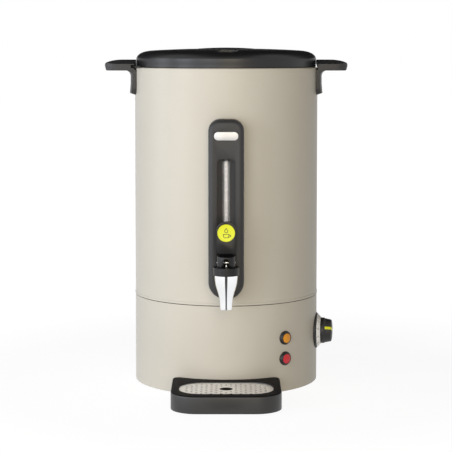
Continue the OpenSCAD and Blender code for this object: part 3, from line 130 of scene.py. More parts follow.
def add_node(tree: Tree, kind: str, inputs: Optional[dict] = None,
             **settings: object) -> bpy.types.Node:
    """Adds a node, with its settings, values and links.

    Args:
        tree: The node tree that the node goes into.
        kind: Blender's name for the node's type.
        inputs: Socket name or number to a value, or to the output that is linked to it.
        **settings: Attributes of the node.

    Returns:
        The new node.
    """
    node = tree.nodes.new(kind)
    for name, value in settings.items():
        setattr(node, name, value)
    for socket, value in (inputs or {}).items():
        if isinstance(value, Socket):
            tree.links.new(value, node.inputs[socket])
        else:
            node.inputs[socket].default_value = value
    return node


class Grain(Enum):
    """Directions in which a surface's fine texture runs."""

    EVEN = (1.0, 1.0, 1.0)
    ALONG_X = (0.04, 1.0, 1.0)
    ALONG_Z = (1.0, 1.0, 0.03)


@dataclass(frozen=True)
class Finish:
    """A surface finish: what the material is and how its surface was made."""

    name: str
    colour: str
    shade: str  # second colour, which the first drifts towards
    roughness: float = 0.5
    spread: float = 0.06  # how far the roughness varies on each side
    drift_mm: float = 60.0  # size of the slow colour drift
    grain_mm: float = 1.2  # size of the fine surface texture
    grain_depth: float = 0.02  # height of that texture, in millimetres
    grain: Grain = Grain.EVEN
    metallic: float = 0.0
    ior: float = 1.5
    coat: float = 0.0
    sheen: float = 0.0
    transmission: float = 0.0
    specular: float = 0.5  # less where a mould's texture shades itself
    straight: float = 0.75  # share of the sight that a thin glass wall doesn't bend
    drift_band: Span = (0.35, 0.75)  # levels of the drift's noise for the first and second colour
    grain_band: Span = (0.3, 0.7)  # levels of the grain's noise for the least and most roughness

    def shader_values(self) -> dict:
        """Gives the values that are the same all over the surface.

        Returns:
            Socket name to value for the Principled shader.
        """
        values = {"Metallic": self.metallic, "Coat Weight": self.coat, "Sheen Weight": self.sheen,
                  "Transmission Weight": self.transmission, "Specular IOR Level": self.specular}
        if self.metallic < 1.0:
            values["IOR"] = self.ior
        return values

    def material(self) -> bpy.types.Material:
        """Builds the procedural material, once for each finish.

        Returns:
            The material.
        """
        known = bpy.data.materials.get(self.name)
        if known:
            return known
        made = bpy.data.materials.new(self.name)
        made.diffuse_color = linear(self.colour)
        tree = cleared(made)
        place = add_node(tree, "ShaderNodeTexCoord").outputs["Object"]
        drift = add_node(tree, "ShaderNodeTexNoise", {
            "Vector": place, "Scale": 1 / (self.drift_mm * MM), "Detail": 3.0, "Roughness": 0.55})
        stretch = add_node(tree, "ShaderNodeMapping", {"Vector": place, "Scale": self.grain.value})
        fine = add_node(tree, "ShaderNodeTexNoise", {
            "Vector": stretch.outputs["Vector"], "Scale": 1 / (self.grain_mm * MM),
            "Detail": 2.0, "Roughness": 0.6})
        rough = add_node(tree, "ShaderNodeMapRange", {
            "Value": fine.outputs["Fac"], "From Min": self.grain_band[0],
            "From Max": self.grain_band[1], "To Min": max(self.roughness - self.spread, 0.01),
            "To Max": min(self.roughness + self.spread, 1.0)})
        bump = add_node(tree, "ShaderNodeBump", {
            "Height": fine.outputs["Fac"], "Distance": self.grain_depth * MM, "Strength": 1.0})
        shader = add_node(tree, "ShaderNodeBsdfPrincipled", {
            "Base Color": self.mixed(tree, drift), "Roughness": rough.outputs["Result"],
            "Normal": bump.outputs["Normal"], **self.shader_values()})
        surface = self.lit_through(tree, shader) if self.transmission else shader.outputs["BSDF"]
        add_node(tree, "ShaderNodeOutputMaterial", {"Surface": surface})
        return made

    def lit_through(self, tree: Tree, shader: bpy.types.Node) -> Socket:
        """Lets the lamps and most of the sight through thin glass pass straight.

        Args:
            tree: The material's node tree.
            shader: The glass shader.

        Returns:
            The output of a shader that is clear to shadow and diffuse rays, and mostly clear
            to the others.
        """
        path = add_node(tree, "ShaderNodeLightPath").outputs
        dim = add_node(tree, "ShaderNodeMath", {
            0: path["Is Shadow Ray"], 1: path["Is Diffuse Ray"]}, operation="MAXIMUM")
        share = add_node(tree, "ShaderNodeMath", {0: dim.outputs[0], 1: self.straight},
                         operation="MAXIMUM")
        clear = add_node(tree, "ShaderNodeBsdfTransparent")
        return add_node(tree, "ShaderNodeMixShader", {
            0: share.outputs[0], 1: shader.outputs["BSDF"], 2: clear.outputs[0]}).outputs[0]

    def mixed(self, tree: Tree, drift: bpy.types.Node) -> Socket:
        """Mixes the two colours by the slow drift.

        Args:
            tree: The material's node tree.
            drift: The noise that decides the mix.

        Returns:
            The mixed colour's output.
        """
        ramp = add_node(tree, "ShaderNodeValToRGB", {"Fac": drift.outputs["Fac"]})
        for stop, level, code in zip(ramp.color_ramp.elements, self.drift_band,
                                     (self.colour, self.shade)):
            stop.position, stop.color = level, linear(code)
        return ramp.outputs["Color"]


# Polyester powder coat on sheet steel: an even, silky warm grey with a faint orange-peel texture
POWDER_COAT = Finish("powder_coat_warm_grey", "#c7c2b6", "#c4bfb3", 0.42, 0.04, 90, 1.6, 0.012,
                     specular=0.3)
# Black ABS from a spark-eroded mould: fine even grain, soft highlights
MOULDED_BLACK = Finish("moulded_abs_black", "#242425", "#202021", 0.46, 0.06, 40, 0.9, 0.02,
                       specular=0.35)
# Black polypropylene of the lid: smoother, so that it holds a broad dim sheen
LID_BLACK = Finish("moulded_pp_lid_black", "#18181a", "#151516", 0.36, 0.05, 60, 1.0, 0.012,
                   specular=0.4)
# Charcoal ABS of the tower and the handles: a matt grey that shows their rounding
MOULDED_CHARCOAL = Finish("moulded_abs_charcoal", "#2f2f30", "#2c2c2d", 0.48, 0.06, 50, 0.9, 0.02,
                          specular=0.35)
# Polypropylene walls of the tray: a clear grey sheen towards the lamps
TRAY_CHARCOAL = Finish("moulded_pp_tray_charcoal", "#2b2b2b", "#282828", 0.42, 0.06, 50, 1.0, 0.025,
                       specular=0.45)
# Top faces of the tray: painted shade, a darker and duller copy of the tray's polypropylene
TRAY_TOP_SHADE = Finish("moulded_pp_tray_top_painted_shade", "#151516", "#131314", 0.62, 0.06, 50, 1.0, 0.03,
                  specular=0.06)
# Phenolic of the tap: the deepest black, with small clear highlights
TAP_BLACK = Finish("phenolic_tap_black", "#121213", "#101011", 0.36, 0.05, 30, 0.8, 0.008,
                   specular=0.3)
# Chromium plate over polished brass: mirrors the cards and the floor
CHROME = Finish("chromium_plate", "#f5f6f7", "#f1f2f3", 0.06, 0.02, 20, 4.0, 0.001, metallic=1.0)
# Stainless steel sheet with a ground finish that runs across: bright and without a mirror image
GRID_STEEL = Finish("ground_stainless_grid", "#f7f7f8", "#f2f2f3", 0.42, 0.06, 25, 1.0, 0.004,
                    Grain.ALONG_X, metallic=1.0)
# Walls of the grid's punched holes: painted shade, dark so that the holes show as dark dots
PUNCHED_WALL_SHADE = Finish("punched_wall_painted_shade", "#2c2c2e", "#38383a", 0.75, 0.1, 3, 0.6, 0.01,
                      metallic=0.4)
# Drawn stainless steel of the tank, dull inside
TANK_STEEL = Finish("drawn_stainless_tank", "#c9cbcc", "#bfc1c2", 0.33, 0.07, 60, 1.2, 0.006,
                    Grain.ALONG_Z, metallic=1.0)
# Turned steel of stems, pins, springs and screws: bright, with fine tool marks
TURNED_STEEL = Finish("turned_steel", "#c4c6c8", "#b7b9bb", 0.22, 0.06, 8, 0.6, 0.003, metallic=1.0)
# Zinc-plated pressed steel of the base plate and nuts: clouded and half matt
ZINC_PLATE = Finish("zinc_plated_steel", "#a9abac", "#9a9c9e", 0.42, 0.1, 14, 1.5, 0.006,
                    metallic=1.0)
# Cast aluminium of the heater plate: dull and slightly rough
CAST_ALUMINIUM = Finish("cast_aluminium", "#bdbfc1", "#aeb0b2", 0.5, 0.1, 20, 1.0, 0.02,
                        metallic=1.0)
# Heat-tinted sheath of the element: brown patches on steel
ELEMENT_SHEATH = Finish("heat_tinted_sheath", "#7d7466", "#6a5f55", 0.45, 0.1, 18, 1.0, 0.006,
                        metallic=1.0)
# Nickel-plated brass of the inlet's pins: a pale yellow gleam
PIN_BRASS = Finish("plated_brass", "#cdb67c", "#c2a96b", 0.25, 0.05, 8, 0.8, 0.002, metallic=1.0)
# Drawn copper of the capillary: red and bright
COPPER = Finish("drawn_copper", "#b8754a", "#a5643c", 0.3, 0.08, 12, 1.0, 0.003, metallic=1.0)
# Steatite ceramic of the cut-out: chalky white
STEATITE = Finish("steatite", "#e6e0d1", "#ded7c6", 0.55, 0.05, 10, 0.6, 0.01)
# Phenolic housing of the thermostat: tan, half matt
PHENOLIC_TAN = Finish("phenolic_tan", "#d1c6a3", "#c8bc98", 0.45, 0.06, 12, 0.8, 0.01)
# Nylon of the terminal block, lamp bodies and spacer: milky off-white
NYLON = Finish("natural_nylon", "#e8e4d8", "#e1dccf", 0.48, 0.05, 14, 0.8, 0.008)
# Silicone-insulated leads: matt brown
LEAD = Finish("silicone_lead", "#7b4c33", "#70432c", 0.5, 0.05, 10, 0.8, 0.01)
# Moulded silicone seals: soft, dull and slightly waxy
SILICONE = Finish("silicone_grey", "#bdb8ae", "#b5b0a5", 0.55, 0.05, 14, 0.8, 0.01, sheen=0.1)
SILICONE_RED = Finish("silicone_red", "#b7463b", "#ad4035", 0.5, 0.05, 14, 0.8, 0.01, sheen=0.1)
# Nitrile rubber of the feet and the joining ring: dull black
RUBBER = Finish("nitrile_rubber", "#1d1d1d", "#232323", 0.7, 0.06, 10, 0.8, 0.02, sheen=0.1)
# White ABS of the dial and of the level marks: clean and slightly glossy
DIAL_WHITE = Finish("moulded_abs_white", "#f7f7f6", "#f4f4f2", 0.35, 0.05, 20, 0.8, 0.006)
# Dark printing ink: flat, without a highlight
INK = Finish("screen_print_ink", "#242424", "#2b2b2b", 0.6, 0.04, 6, 0.5, 0.002)
# Silver-grey printed face of the level strip: pale, so that the marks stay faint
STRIP_SILVER = Finish("printed_strip_silver", "#d6d6d8", "#cfcfd1", 0.4, 0.05, 20, 0.8, 0.004)
# Fluorescent yellow ABS of the badge and the pointer: the strongest colour on the urn
LIME_YELLOW = Finish("moulded_abs_lime", "#e3e711", "#dde20f", 0.36, 0.05, 15, 0.8, 0.004)
# Satin anodised plate, left bare
NAME_PLATE = Finish("anodised_plate", "#c6c7c9", "#bcbdbf", 0.4, 0.06, 12, 0.7, 0.002,
                    Grain.ALONG_X, metallic=0.4)
# Tinted polycarbonate lenses: glossy and filled with their colour
AMBER_LENS = Finish("polycarbonate_amber", "#e89a0c", "#e09006", 0.16, 0.03, 6, 1.5, 0.004,
                    ior=1.58, specular=0.3)
RED_LENS = Finish("polycarbonate_red", "#d62733", "#cb1e2a", 0.16, 0.03, 6, 1.5, 0.004,
                  ior=1.58, specular=0.3)
# Borosilicate tube: clear, with thin lines of light at its sides
GLASS = Finish("borosilicate", "#fdfefe", "#fafcfc", 0.02, 0.01, 30, 3.0, 0.0,
               ior=1.47, transmission=1.0)


# ---- outlines and places

def rounded(corners: Sequence[Corner], closed: bool = True, steps: int = 6) -> list[Point]:
    """Rounds the corners of an outline.

    Args:
        corners: Each corner as x, y and the radius that it is rounded to.
        closed: Whether the last corner joins the first.
        steps: Straight pieces in each rounded corner.

    Returns:
        The points of the rounded outline.
    """
    points: list[Point] = []
    count = len(corners)
    for i, (x, y, radius) in enumerate(corners):
        at_end = not closed and i in (0, count - 1)
        if radius <= 0 or at_end:
            points.append((x, y))
            continue
        here = Vector((x, y))
        back = Vector(corners[i - 1][:2]) - here
        ahead = Vector(corners[(i + 1) % count][:2]) - here
        half = back.angle(ahead) / 2
        reach = min(radius / math.tan(half), back.length * SIDE_SHARE, ahead.length * SIDE_SHARE)
        r = reach * math.tan(half)
        start, end = here + back.normalized() * reach, here + ahead.normalized() * reach
        middle = here + (back.normalized() + ahead.normalized()).normalized() * r / math.sin(half)
        for k in range(steps + 1):
            arm = (start - middle).lerp(end - middle, k / steps).normalized() * r
            points.append(tuple(middle + arm))
    return points


def curve(a: Point, b: Point, c: Point, d: Point, steps: int = 12) -> list[Point]:
    """Gives points of a cubic curve.

    Args:
        a: The start.
        b: The control point of the start.
        c: The control point of the end.
        d: The end.
        steps: Straight pieces in the curve.

    Returns:
        The points, both ends included.
    """
    pa, pb, pc, pd = (Vector(p) for p in (a, b, c, d))
    points = []
    for k in range(steps + 1):
        t, s = k / steps, 1 - k / steps
        points.append(tuple(pa * s ** 3 + pb * 3 * s * s * t + pc * 3 * s * t * t + pd * t ** 3))
    return points


def stadium(width: float, height: float, steps: int = 12) -> list[Point]:
    """Gives the outline of a bar with round ends, about its centre."""
    w, h, r = width / 2, height / 2, height * END_SHARE
    return rounded([(w, -h, r), (w, h, r), (-w, h, r), (-w, -h, r)], steps=steps)


def facing(azimuth: float, height: float, out: float = 0.0) -> Matrix:
    """Gives the place of a piece on the shell.

    Args:
        azimuth: Direction in degrees, from the front towards the knob's side.
        height: Height of the piece's middle, in millimetres.
        out: Distance from the tank's axis, in millimetres.

    Returns:
        A matrix whose x runs round the shell, whose y runs up and whose z points outwards.
    """
    return (Matrix.Rotation(math.radians(azimuth), 4, "Z") @ shift(0, 0, height)
            @ Matrix.Rotation(math.radians(90), 4, "X") @ shift(0, 0, out))


def shift(x: float = 0.0, y: float = 0.0, z: float = 0.0) -> Matrix:
    """Gives a move in millimetres."""
    return Matrix.Translation((x * MM, y * MM, z * MM))


# ---- meshes

def tidy(bm: BMesh) -> BMesh:
    """Merges doubled points and turns the faces outwards.

    Args:
        bm: The mesh, which is changed.

    Returns:
        The same mesh.
    """
    bmesh.ops.remove_doubles(bm, verts=bm.verts, dist=WELD)
    bmesh.ops.recalc_face_normals(bm, faces=bm.faces)
    return bm


def moved(bm: BMesh, matrix: Matrix) -> BMesh:
    """Moves a mesh by a matrix in metres, and gives it back."""
    bmesh.ops.transform(bm, matrix=matrix, verts=bm.verts)
    return bm


def revolve(profile: Sequence[Point], closed: bool = True, steps: int = STEPS,
            sweep: float = 360.0) -> BMesh:
    """Spins a profile about the z axis.

    Args:
        profile: Points as radius and height, in millimetres.
        closed: Whether the profile's last point joins its first. An open one ends on the axis.
        steps: Straight pieces in the sweep.
        sweep: The angle of the sweep, in degrees; a part turn gets flat ends.

    Returns:
        A closed mesh.
    """
    bm = bmesh.new()
    verts = [bm.verts.new((r * MM, 0, z * MM)) for r, z in profile]
    part_turn = sweep < 360.0
    if part_turn:
        geometry: list = [bm.faces.new(verts)]
    else:
        edges = [bm.edges.new(pair) for pair in zip(verts, verts[1:])]
        if closed:
            edges.append(bm.edges.new((verts[-1], verts[0])))
        geometry = verts + edges
    bmesh.ops.spin(bm, geom=geometry, cent=(0, 0, 0), axis=(0, 0, 1), dvec=(0, 0, 0),
                   angle=math.radians(sweep), steps=steps, use_merge=not part_turn,
                   use_normal_flip=False, use_duplicate=False)
    return tidy(bm)


def prism(outline: Sequence[Point], span: Span, line: float = 0.0) -> BMesh:
    """Extrudes an outline, or a line that runs inside it, along z.

    Args:
        outline: Points as x and y, in millimetres.
        span: Heights of the lower and the upper face.
        line: Width of the line, or 0 for the whole outline.

    Returns:
        A closed mesh.
    """
    low, high = span
    bm = bmesh.new()
    face = bm.faces.new([bm.verts.new((x * MM, y * MM, low * MM)) for x, y in outline])
    if line:
        bm.normal_update()
        bmesh.ops.inset_region(bm, faces=[face], thickness=line * MM, use_even_offset=True,
                               use_boundary=True)
        bmesh.ops.delete(bm, geom=[face], context="FACES_ONLY")
    grown = bmesh.ops.extrude_face_region(bm, geom=list(bm.faces))
    verts = [g for g in grown["geom"] if isinstance(g, bmesh.types.BMVert)]
    bmesh.ops.translate(bm, verts=verts, vec=(0, 0, (high - low) * MM))
    return tidy(bm)


def block(width: float, rise: Span, depth: Span) -> BMesh:
    """Makes a box that is centred in x, from its width and its ends in y and z."""
    w, (low, high) = width / 2, rise
    return prism([(-w, low), (w, low), (w, high), (-w, high)], depth)


def sharp(edge: bmesh.types.BMEdge, angle: float) -> bool:
    """Tells whether the two faces at an edge turn by more than an angle, in degrees."""
    return len(edge.link_faces) == 2 and edge.calc_face_angle(0) > math.radians(angle)


def bevel(bm: BMesh, edges: Sequence[bmesh.types.BMEdge], width: float, segments: int) -> BMesh:
    """Bevels edges of a mesh.

    Args:
        bm: The mesh, which is changed.
        edges: The edges.
        width: Width of the bevel, in millimetres.
        segments: Faces across the bevel.

    Returns:
        The same mesh.
    """
    bmesh.ops.bevel(bm, geom=edges, offset=width * MM, offset_type="OFFSET", affect="EDGES",
                    segments=segments, profile=0.5, material=-1, clamp_overlap=True)
    return bm


def soften(bm: BMesh, width: float, segments: int = 3) -> BMesh:
    """Bevels every sharp edge by a width in millimetres."""
    return bevel(bm, [e for e in bm.edges if sharp(e, SOFTEN_ANGLE)], width, segments)


class Edge(Enum):
    """Roundings of a copy's edges: width in millimetres, and faces across."""

    SHARP = (0.0, 1)
    HAIR = (0.15, 2)
    FINE = (0.2, 2)
    THIN = (0.25, 2)
    SLIGHT = (0.3, 2)
    SOFT = (0.4, 3)
    ROUND = (0.5, 3)
    FULL = (0.7, 3)
    GRIP = (1.5, 4)


def copied(node: str, edge: Edge = Edge.SHARP) -> BMesh:
    """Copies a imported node's mesh, merges it into flat faces and rounds its edges.

    Args:
        node: The node's name.
        edge: How far the edges are rounded.

    Returns:
        The cleaned copy.
    """
    bm = bmesh.new()
    bm.from_mesh(frame["nodes"][node].data)
    bmesh.ops.remove_doubles(bm, verts=bm.verts, dist=COPY_WELD)
    bmesh.ops.dissolve_limit(bm, angle_limit=math.radians(FLAT_ANGLE), verts=bm.verts,
                             edges=bm.edges)
    return bm if edge is Edge.SHARP else soften(bm, *edge.value)


# ---- objects

def written(bm: BMesh, name: str = "step") -> bpy.types.Mesh:
    """Writes a working mesh to a new mesh.

    Args:
        bm: The working mesh, which is freed.
        name: The new mesh's name.

    Returns:
        The new mesh.
    """
    mesh = bpy.data.meshes.new(name)
    bm.to_mesh(mesh)
    bm.free()
    return mesh


def linked(name: str, data: bpy.types.ID) -> Object:
    """Adds an object to the scene.

    Args:
        name: The object's name.
        data: Its mesh, text, light or camera.

    Returns:
        The object.
    """
    made = bpy.data.objects.new(name, data)
    bpy.context.scene.collection.objects.link(made)
    return made


def collected(shown: Object, *others: Object) -> BMesh:
    """Takes the final shape of a helper object and removes the helpers.

    Args:
        shown: The object whose shape is taken, as its modifiers or its text make it.
        *others: Further helpers.

    Returns:
        The shape.
    """
    final = shown.evaluated_get(bpy.context.evaluated_depsgraph_get())
    mesh = bpy.data.meshes.new_from_object(final)
    bm = bmesh.new()
    bm.from_mesh(mesh)
    bpy.data.meshes.remove(mesh)
    for helper in (shown, *others):
        bpy.data.batch_remove([helper, helper.data])
    return bm


def cut(bm: BMesh, cutter: BMesh) -> BMesh:
    """Cuts one mesh out of another.

    Args:
        bm: The mesh that is cut, which is freed.
        cutter: The mesh that is taken away, which is freed.

    Returns:
        The rest.
    """
    target, tool = linked("target", written(bm)), linked("cutter", written(cutter))
    step = target.modifiers.new("cut", "BOOLEAN")
    step.operation, step.object, step.solver = "DIFFERENCE", tool, "EXACT"
    return collected(target, tool)


def piece(name: str, parts: Sequence[BMesh], finish: Finish, body: str,
          replaces: Sequence[str] = ()) -> Object:
    """Joins meshes into one piece, dresses it and fixes it to its body.

    Args:
        name: The piece's name.
        parts: The meshes, which are freed.
        finish: The finish of the whole piece.
        body: The body that the piece moves with.
        replaces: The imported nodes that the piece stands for.

    Returns:
        The object.
    """
    whole = bmesh.new()
    for part in parts:
        step = written(part)
        whole.from_mesh(step)
        bpy.data.meshes.remove(step)
    mesh = written(whole, name)
    mesh.shade_smooth()
    mesh.set_sharp_from_angle(angle=math.radians(SMOOTH_ANGLE))
    mesh.materials.append(finish.material())
    made = linked(name, mesh)
    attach(made, body)
    if replaces:
        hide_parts(*replaces)
    LOG.info("%s: %d faces on %s", name, len(mesh.polygons), body)
    return made


def copy_piece(name: str, node: str, finish: Finish, body: str,
               edge: Edge = Edge.SHARP) -> Object:
    """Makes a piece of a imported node's copy, with its edges rounded."""
    return piece(name, [copied(node, edge)], finish, body, [node])


def two_faced(made: Object, finish: Finish, lean: Span) -> None:
    """Gives the faces of a piece that lean by a given amount a second finish.

    Args:
        made: The piece.
        finish: The second finish.
        lean: The least and the greatest upward part of the faces' normals.
    """
    made.data.materials.append(finish.material())
    for face in made.data.polygons:
        if lean[0] <= face.normal.z <= lean[1]:
            face.material_index = 1


def dress(node: str, finish: Finish) -> None:
    """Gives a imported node, whose shape is kept, its finish.

    Args:
        node: The node's name.
        finish: The finish.
    """
    mesh = frame["nodes"][node].data
    mesh.materials.clear()
    mesh.materials.append(finish.material())
    LOG.info("%s: dressed as %s", node, finish.name)


# ---- shell and tank

@dataclass
class Shell:
    """The painted shell, in two parts that meet on a ring."""

    radius: float = 133.0
    wall: float = 1.2
    seam: float = 127.5
    seam_gap: float = 1.0
    seam_edge: float = 0.35  # rounding of both shells at the seam
    rim: float = 457.5
    rim_round: float = 2.0
    lip: float = 7.0  # width of the turned-in lip
    lip_edge: float = 0.4
    lip_fold: float = 0.8
    hem: float = 0.5
    hem_height: float = 3.0
    fold: float = 0.6  # rounding of the hem and of the base's edge
    base: float = 1.5
    shelf: float = 8.2
    shelf_in: float = 120.0
    shelf_fold: float = 0.5
    inner_edge: float = 0.3  # rounding of the base shell's inner edges
    lug_x: float = 32.0
    lug_z: float = 10.5
    lug_size: Point = (9.6, 3.6)  # width and height of the slot for a tray lug
    lug_cut: Span = (118.0, 140.0)  # distances from the axis that the slot spans
    ring_wall: float = 2.1
    ring_skirt: float = 8.0  # how far the ring reaches into each shell
    ring_gap: float = 0.1  # room between the ring and the shells
    ring_depth: float = 0.6  # how far the dark edge stands back

    def upper(self) -> None:
        """Builds the upper shell with its rolled hem and its turned-in rim."""
        inner, low = self.radius - self.wall, self.seam + self.seam_gap / 2
        proud, mouth = self.radius + self.hem, self.radius - self.lip
        high, under = low + self.hem_height, self.rim - self.wall
        profile = rounded([
            (inner, low, 0), (proud, low, self.seam_edge), (proud, high, self.fold),
            (self.radius, high + self.hem, self.fold), (self.radius, self.rim, self.rim_round),
            (mouth, self.rim, self.lip_edge), (mouth, under, self.lip_edge),
            (inner, under, self.lip_fold)])
        piece("upper_shell", [revolve(profile, steps=FINE_STEPS)], POWDER_COAT, "urn",
              ["body_shell"])

    def lower(self) -> None:
        """Builds the base shell and cuts the slots of the tray's lugs."""
        inner, top = self.radius - self.wall, self.seam - self.seam_gap / 2
        shelf_top, edge = self.shelf + self.wall, self.inner_edge
        shell = revolve(rounded([
            (inner, self.base, edge), (self.radius, self.base, self.fold),
            (self.radius, top, self.seam_edge), (inner, top, edge),
            (inner, shelf_top, self.shelf_fold), (self.shelf_in, shelf_top, edge),
            (self.shelf_in, self.shelf, edge), (inner, self.shelf, edge)]), steps=FINE_STEPS)
        width, height = self.lug_size
        for side in (-1, 1):
            slot = block(width, (-height / 2, height / 2), self.lug_cut)
            shell = cut(shell, moved(slot, shift(side * self.lug_x) @ facing(0, self.lug_z)))
        piece("lower_shell", [shell], POWDER_COAT, "urn", ["base_shell"])

    def ring(self) -> None:
        """Builds the ring that joins both shells; only its edge shows, as the dark seam."""
        outer, edge = self.radius - self.wall - self.ring_gap, self.radius - self.ring_depth
        inner = outer - self.ring_wall
        low, high = self.seam - self.seam_gap / 2, self.seam + self.seam_gap / 2
        foot, head = low - self.ring_skirt, high + self.ring_skirt
        profile = [(inner, foot), (outer, foot), (outer, low), (edge, low),
                   (edge, high), (outer, high), (outer, head), (inner, head)]
        piece("joining_ring", [revolve(profile)], RUBBER, "urn", ["seam_ring"])

    def build(self) -> None:
        """Builds the painted parts."""
        self.upper()
        self.lower()
        self.ring()


# Solids in and under the tank, which are seen as they are packed
INNER_FINISHES = {
    "tank_posts": TURNED_STEEL, "base_plate": ZINC_PLATE, "base_screws": TURNED_STEEL,
    "heater_plate": CAST_ALUMINIUM, "heating_element": ELEMENT_SHEATH,
    "boil_dry_cutout": STEATITE, "thermostat_body": PHENOLIC_TAN, "capillary": COPPER,
    "terminal_block": NYLON, "wiring": LEAD, "lamp_bodies": NYLON, "lamp_nuts": ZINC_PLATE,
    "handle_screws": TURNED_STEEL, "tower_screws": TURNED_STEEL, "tap_spacer": NYLON,
    "tap_seals": SILICONE_RED, "tap_nut": TURNED_STEEL, "inlet_pins": PIN_BRASS,
    "gauge_seals": SILICONE, "valve_seal": SILICONE_RED, "thermostat_shaft": TURNED_STEEL}


@dataclass
class Tank:
    """The stainless steel tank and what is fixed under it."""

    inner: float = 118.0
    wall: float = 1.0
    floor: float = 160.0
    corner: float = 12.0
    rim: float = 457.5
    flange: float = 126.7
    flange_edge: float = 0.4
    mouth: float = 1.2  # rounding where the wall turns into the flange

    def vessel(self) -> None:
        """Builds the drawn tank with its flange."""
        outer, under, top = self.inner + self.wall, self.floor - self.wall, self.rim + self.wall
        profile = rounded([
            (0, under, 0), (outer, under, self.corner + self.wall),
            (outer, self.rim, self.flange_edge), (self.flange, self.rim, self.flange_edge),
            (self.flange, top, self.flange_edge), (self.inner, top, self.mouth),
            (self.inner, self.floor, self.corner), (0, self.floor, 0)], closed=False)
        piece("water_tank", [revolve(profile, closed=False)], TANK_STEEL, "urn",
              ["tank"])

    def build(self) -> None:
        """Builds the tank and dresses the solids round it."""
        self.vessel()
        for node, finish in INNER_FINISHES.items():
            dress(node, finish)


# ---- lid

